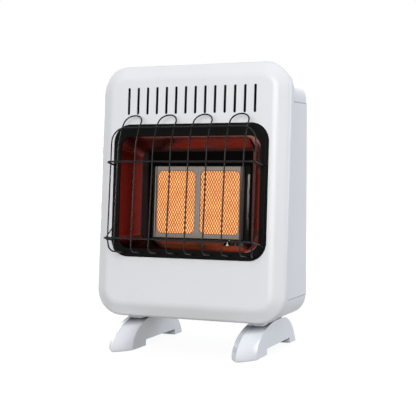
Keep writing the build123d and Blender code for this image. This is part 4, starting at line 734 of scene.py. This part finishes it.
def lattice_face():
    """Flat face, cut from a lattice of diamonds, whose cells are sunk between ribs."""
    mesh = bmesh.new()
    grid = bmesh.ops.create_grid(
        mesh, x_segments=CELLS_A_SIDE, y_segments=CELLS_A_SIDE, size=CELLS_A_SIDE / 2
    )["verts"]
    bmesh.ops.rotate(mesh, verts=grid, matrix=Matrix.Rotation(radians(45), 3, "Z"))
    bmesh.ops.scale(mesh, verts=grid, vec=(CELL_WIDTH / sqrt(2), CELL_HEIGHT / sqrt(2), 1.0))
    limits = ((Vector((1, 0, 0)), PLAQUE_WIDTH / 2), (Vector((0, 1, 0)), PLAQUE_HEIGHT / 2))
    for axis, limit in limits:
        for sign in (-1, 1):
            bmesh.ops.bisect_plane(
                mesh, geom=mesh.verts[:] + mesh.edges[:] + mesh.faces[:],
                plane_co=axis * limit * sign, plane_no=axis * sign, clear_outer=True,
            )
    cells = mesh.faces[:]
    bmesh.ops.inset_individual(mesh, faces=cells, thickness=RIB / 2, depth=0.0)
    for face in mesh.faces:
        face.material_index = RIB_SLOT
    for face in cells:
        face.material_index = POCKET_SLOT
        for vertex in face.verts:
            vertex.co.z = -POCKET_DEPTH
    return mesh


def build_plaque(name, side):
    """Ceramic block whose face is a lattice of rhombic pockets."""
    mesh = lattice_face()
    outline = [edge for edge in mesh.edges if edge.is_boundary]
    skirt = bmesh.ops.extrude_edge_only(mesh, edges=outline)["geom"]
    for vertex in [item for item in skirt if isinstance(item, bmesh.types.BMVert)]:
        vertex.co.z = -PLAQUE_THICKNESS
    foot = [item for item in skirt if isinstance(item, bmesh.types.BMEdge)]
    walls = [item for item in skirt if isinstance(item, bmesh.types.BMFace)]
    back = bmesh.ops.contextual_create(mesh, geom=foot)["faces"]
    for face in walls + back:
        face.material_index = RIM_SLOT
    across = side * (PLAQUE_GAP + PLAQUE_WIDTH) / 2
    centre = Matrix.Translation((across, BURNER_CENTRE, -PLAQUE_DEPTH))
    bmesh.ops.transform(mesh, matrix=FRONT_FRAME @ centre, verts=mesh.verts)
    piece = finished(name, mesh, POCKET_GLOW, RIB_GLOW, PLAQUE_RIM)
    return piece


for side, node_name in ((-1, "ceramic_plaque_left"), (1, "ceramic_plaque_right")):
    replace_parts(build_plaque("glowing_" + node_name, side), node_name)

# ---------------------------------------------------------------- guard welds
RAIL_RADIUS = 1.75 * MM
WIRE_COUNT = 8
WIRE_PITCH = 36.6 * MM
UPPER_RAIL = (358.6 * MM, 46.6 * MM)    # height up the face, reach in front of it
LOWER_RAIL = (214.3 * MM, 51.7 * MM)
TOP_BAR = (424.0 * MM, 33.6 * MM)
FRAME_WIRE = 147.5 * MM                 # the frame wire's sides, from the middle
SIDE_WELDS = (                          # at the frame wire, near the rails' ends
    (UPPER_RAIL[0] - 1.2 * MM, 35.3 * MM),
    (LOWER_RAIL[0] - 3.9 * MM, 37.8 * MM),
)
BEAD_RADIUS = 1.45 * MM
BEAD_SPREAD = 1.15                      # a bead is this much broader than it is high


def build_guard_welds():
    """Small beads where the guard's wires cross."""
    wires = [(index - (WIRE_COUNT - 1) / 2) * WIRE_PITCH for index in range(WIRE_COUNT)]
    places = [
        (across, height, reach - RAIL_RADIUS)
        for across in wires
        for height, reach in (UPPER_RAIL, LOWER_RAIL, TOP_BAR)
    ]
    places += [
        (side * (FRAME_WIRE + RAIL_RADIUS), height, reach)
        for height, reach in SIDE_WELDS
        for side in (-1, 1)
    ]
    mesh = bmesh.new()
    for place in places:
        bead = bmesh.ops.create_icosphere(mesh, subdivisions=2, radius=BEAD_RADIUS)["verts"]
        bmesh.ops.scale(mesh, verts=bead, vec=(BEAD_SPREAD, BEAD_SPREAD, 1.0))
        bmesh.ops.translate(mesh, verts=bead, vec=place)
    bmesh.ops.transform(mesh, matrix=FRONT_FRAME, verts=mesh.verts)
    piece = finished("guard_weld_beads", mesh, FINISHES["guard_black"], smooth=True)


build_guard_welds()

# ---------------------------------------------------------------- dial and pointer marks
PLATE_TOP = 519.2 * MM
KNOB_PLACE = (115.0 * MM, 38.0 * MM)
IGNITER_PLACE = (62.0 * MM, 38.0 * MM)
KNOB_TOP = 542.5 * MM
KNOB_TURN = 240.0                       # degrees from off to full
DIAL_MARKS = {"OFF": 0.0, "1": 160.0, "2": 200.0, "3": KNOB_TURN}
MARK_REACH = 24.0 * MM                  # from the knob's axis to the middle of a mark
MARK_HEIGHT = 3.4 * MM
TICK_REACH = 20.6 * MM                  # from the knob's axis to a tick's near end
TICK_WIDTH = 0.7 * MM
TICK_LENGTH = 1.6 * MM
RING_RADIUS = 13.6 * MM
RING_WIDTH = 0.5 * MM
RING_STEPS = 64
POINTER_REACH = 5.05 * MM               # from the knob's axis to the pointer's near end
POINTER_WIDTH = 1.5 * MM
POINTER_LENGTH = 9.9 * MM
POINTER_SUNK = 0.6 * MM                 # its underside, below the knob's top
INK_RISE = 0.12 * MM

INK = grained(
    "dial_ink", light=(0.018, 0.018, 0.02), dark=(0.03, 0.03, 0.032),
    smooth=0.5, dull=0.7, scale=1800.0, strength=0.1,
)
RED_INK = grained(
    "dial_red_ink", light=(0.45, 0.02, 0.015), dark=(0.35, 0.014, 0.01),
    smooth=0.5, dull=0.7, scale=1800.0, strength=0.1,
)
POINTER_PAINT = grained(
    "pointer_paint", light=(0.75, 0.75, 0.73), dark=(0.62, 0.62, 0.6),
    smooth=0.4, dull=0.6, scale=1800.0, strength=0.1,
)


def printed(name, mesh, ink, body=ROOT):
    """Ink or paint that stands a little proud of the piece that it is printed on."""
    piece = finished(name, mesh, ink, body=body)


def add_ink_bar(mesh, width, length, reach, turn, base):
    """Thin bar of ink that points away from the knob's axis, at an angle from the front."""
    bar = bmesh.ops.create_cube(mesh, size=1.0)["verts"]
    bmesh.ops.scale(mesh, verts=bar, vec=(width, length, INK_RISE))
    bmesh.ops.translate(mesh, verts=bar, vec=(0.0, -reach - length / 2, base + INK_RISE / 2))
    bmesh.ops.rotate(mesh, verts=bar, matrix=Matrix.Rotation(radians(turn), 3, "Z"))
    bmesh.ops.translate(mesh, verts=bar, vec=(*KNOB_PLACE, 0.0))


def lettering(text, turn):
    """Printed word or number as a mesh, read from the front and set round the knob."""
    curve = bpy.data.curves.new("lettering", "FONT")
    curve.body = text
    curve.size = MARK_HEIGHT
    curve.align_x = "CENTER"
    curve.align_y = "CENTER"
    curve.extrude = INK_RISE / 2
    curve.resolution_u = 3
    holder = bpy.data.objects.new("lettering", curve)
    mesh = bmesh.new()
    mesh.from_mesh(holder.to_mesh())
    holder.to_mesh_clear()
    bpy.data.objects.remove(holder)
    place = Matrix.Rotation(radians(turn), 3, "Z") @ Vector((0.0, -MARK_REACH, 0.0))
    place += Vector((*KNOB_PLACE, PLATE_TOP + INK_RISE / 2))
    bmesh.ops.translate(mesh, verts=mesh.verts, vec=place)
    bmesh.ops.remove_doubles(mesh, verts=mesh.verts, dist=1e-6)
    return mesh


def print_dial():
    """Ticks with their marks round the knob."""
    ticks = bmesh.new()
    for turn in DIAL_MARKS.values():
        add_ink_bar(ticks, TICK_WIDTH, TICK_LENGTH, TICK_REACH, turn, PLATE_TOP)
    printed("dial_ticks", ticks, INK)
    for label, turn in DIAL_MARKS.items():
        printed("dial_mark_" + label.lower(), lettering(label, turn), INK)


def print_igniter_ring():
    """Red ring on the dial plate round the igniter."""
    ring = bmesh.new()
    profile = bmesh.ops.create_grid(ring, x_segments=1, y_segments=1, size=0.5)["verts"]
    bmesh.ops.scale(ring, verts=profile, vec=(RING_WIDTH, INK_RISE, 1.0))
    bmesh.ops.rotate(ring, verts=profile, matrix=Matrix.Rotation(radians(90), 3, "X"))
    bmesh.ops.translate(ring, verts=profile, vec=(RING_RADIUS, 0.0, PLATE_TOP + INK_RISE / 2))
    bmesh.ops.spin(
        ring, geom=ring.verts[:] + ring.edges[:] + ring.faces[:], cent=(0, 0, 0), axis=(0, 0, 1),
        angle=radians(360), steps=RING_STEPS, use_merge=True, use_duplicate=False,
    )
    bmesh.ops.translate(ring, verts=ring.verts, vec=(*IGNITER_PLACE, 0.0))
    printed("igniter_ring", ring, RED_INK)


def paint_pointer():
    """White fill in the groove on the knob's grip."""
    line = bmesh.new()
    add_ink_bar(
        line, POINTER_WIDTH, POINTER_LENGTH, POINTER_REACH, turn=0.0, base=KNOB_TOP - POINTER_SUNK
    )
    printed("knob_pointer_fill", line, POINTER_PAINT, body="knob")


print_dial()
print_igniter_ring()
paint_pointer()

# ---------------------------------------------------------------- stage
FLOOR_HALF_SIZE = 12.0
FLOOR_ALBEDO = 0.13
FLOOR_WHITENS = (0.4, 1.4)              # metres from the heater's axis
FLOOR_PALE = 0.91                       # how white the floor is seen near the heater
ROOM_LEFT = (0.22, 0.225, 0.24)         # light from the room's two sides
ROOM_RIGHT = (0.38, 0.41, 0.475)
WHITE = (1.0, 1.0, 1.0)


def lay_floor():
    """Floor that is seen nearly white, and throws back little light."""
    mesh = bmesh.new()
    bmesh.ops.create_grid(mesh, x_segments=1, y_segments=1, size=FLOOR_HALF_SIZE)
    data = bpy.data.meshes.new("studio_floor")
    mesh.to_mesh(data)
    mesh.free()
    floor = bpy.data.objects.new("studio_floor", data)
    bpy.context.scene.collection.objects.link(floor)
    finish = Finish("pale_floor")
    tree = finish.tree
    surface = finish.shader.inputs
    surface["Base Color"].default_value = (FLOOR_ALBEDO, FLOOR_ALBEDO, FLOOR_ALBEDO, 1.0)
    surface["Roughness"].default_value = 0.9
    surface["Specular IOR Level"].default_value = 0.0
    surface["Emission Color"].default_value = (*WHITE, 1.0)
    reach = put(tree, "ShaderNodeVectorMath", operation="LENGTH")
    tree.links.new(own_place(tree), reach.inputs[0])
    paleness = remap(
        tree, reach.outputs["Value"], *FLOOR_WHITENS, at_low=FLOOR_PALE, at_high=1.0
    )
    tree.links.new(times(tree, seen_rays(tree), paleness), surface["Emission Strength"])
    data.materials.append(finish.material)


def light_room():
    """Room that is seen white, and lights the heater softly, with more from the right."""
    world = bpy.data.worlds.new("soft_studio")
    bpy.context.scene.world = world
    world.use_nodes = True
    tree = world.node_tree
    direction = axes(tree, put(tree, "ShaderNodeTexCoord").outputs["Generated"])
    sides = blend(tree, rise(tree, direction["X"], -0.7, 0.7), ROOM_LEFT, ROOM_RIGHT)
    backdrop = tree.nodes["Background"].inputs
    tree.links.new(blend(tree, seen_rays(tree), sides, WHITE), backdrop["Color"])
    backdrop["Strength"].default_value = 1.0


def soft_light(name, place, aim, size, power, tint=WHITE):
    """Square area lamp aimed at a height on the heater's axis."""
    lamp = bpy.data.lights.new(name, "AREA")
    lamp.shape = "SQUARE"
    lamp.size = size
    lamp.energy = power
    lamp.color = tint
    holder = bpy.data.objects.new(name, lamp)
    holder.location = place
    beam = Vector((0.0, 0.0, aim)) - Vector(place)
    holder.rotation_euler = beam.to_track_quat("-Z", "Y").to_euler()
    bpy.context.scene.collection.objects.link(holder)


lay_floor()
light_room()
soft_light(
    "front_softbox", (0.9, -5.0, 1.8), aim=0.25, size=3.2, power=192.0, tint=(1.0, 0.985, 0.96)
)
soft_light("top_softbox", (0.2, -0.9, 2.5), aim=0.2, size=1.8, power=9.0, tint=(0.91, 0.955, 1.0))
soft_light("right_fill", (3.0, 1.7, 0.9), aim=0.3, size=1.6, power=42.0, tint=(0.9, 0.95, 1.0))
soft_light("left_fill", (-3.0, 1.9, 0.9), aim=0.3, size=1.6, power=56.0)
soft_light("back_softbox", (-0.7, 3.2, 0.9), aim=0.25, size=2.2, power=30.0)

# ---------------------------------------------------------------- camera and view
VIEW_PLACE = (0.7987, -1.8019, 0.3541)
VIEW_TILT = radians(87.58)
VIEW_TURN = radians(23.67)
LENS = 87.47                            # focal length in millimetres

camera = bpy.data.cameras.new("viewpoint")
camera.lens = LENS
viewpoint = bpy.data.objects.new("viewpoint", camera)
viewpoint.location = VIEW_PLACE
viewpoint.rotation_euler = (VIEW_TILT, 0.0, VIEW_TURN)
bpy.context.scene.collection.objects.link(viewpoint)
bpy.context.scene.camera = viewpoint
bpy.context.scene.view_settings.view_transform = "Standard"
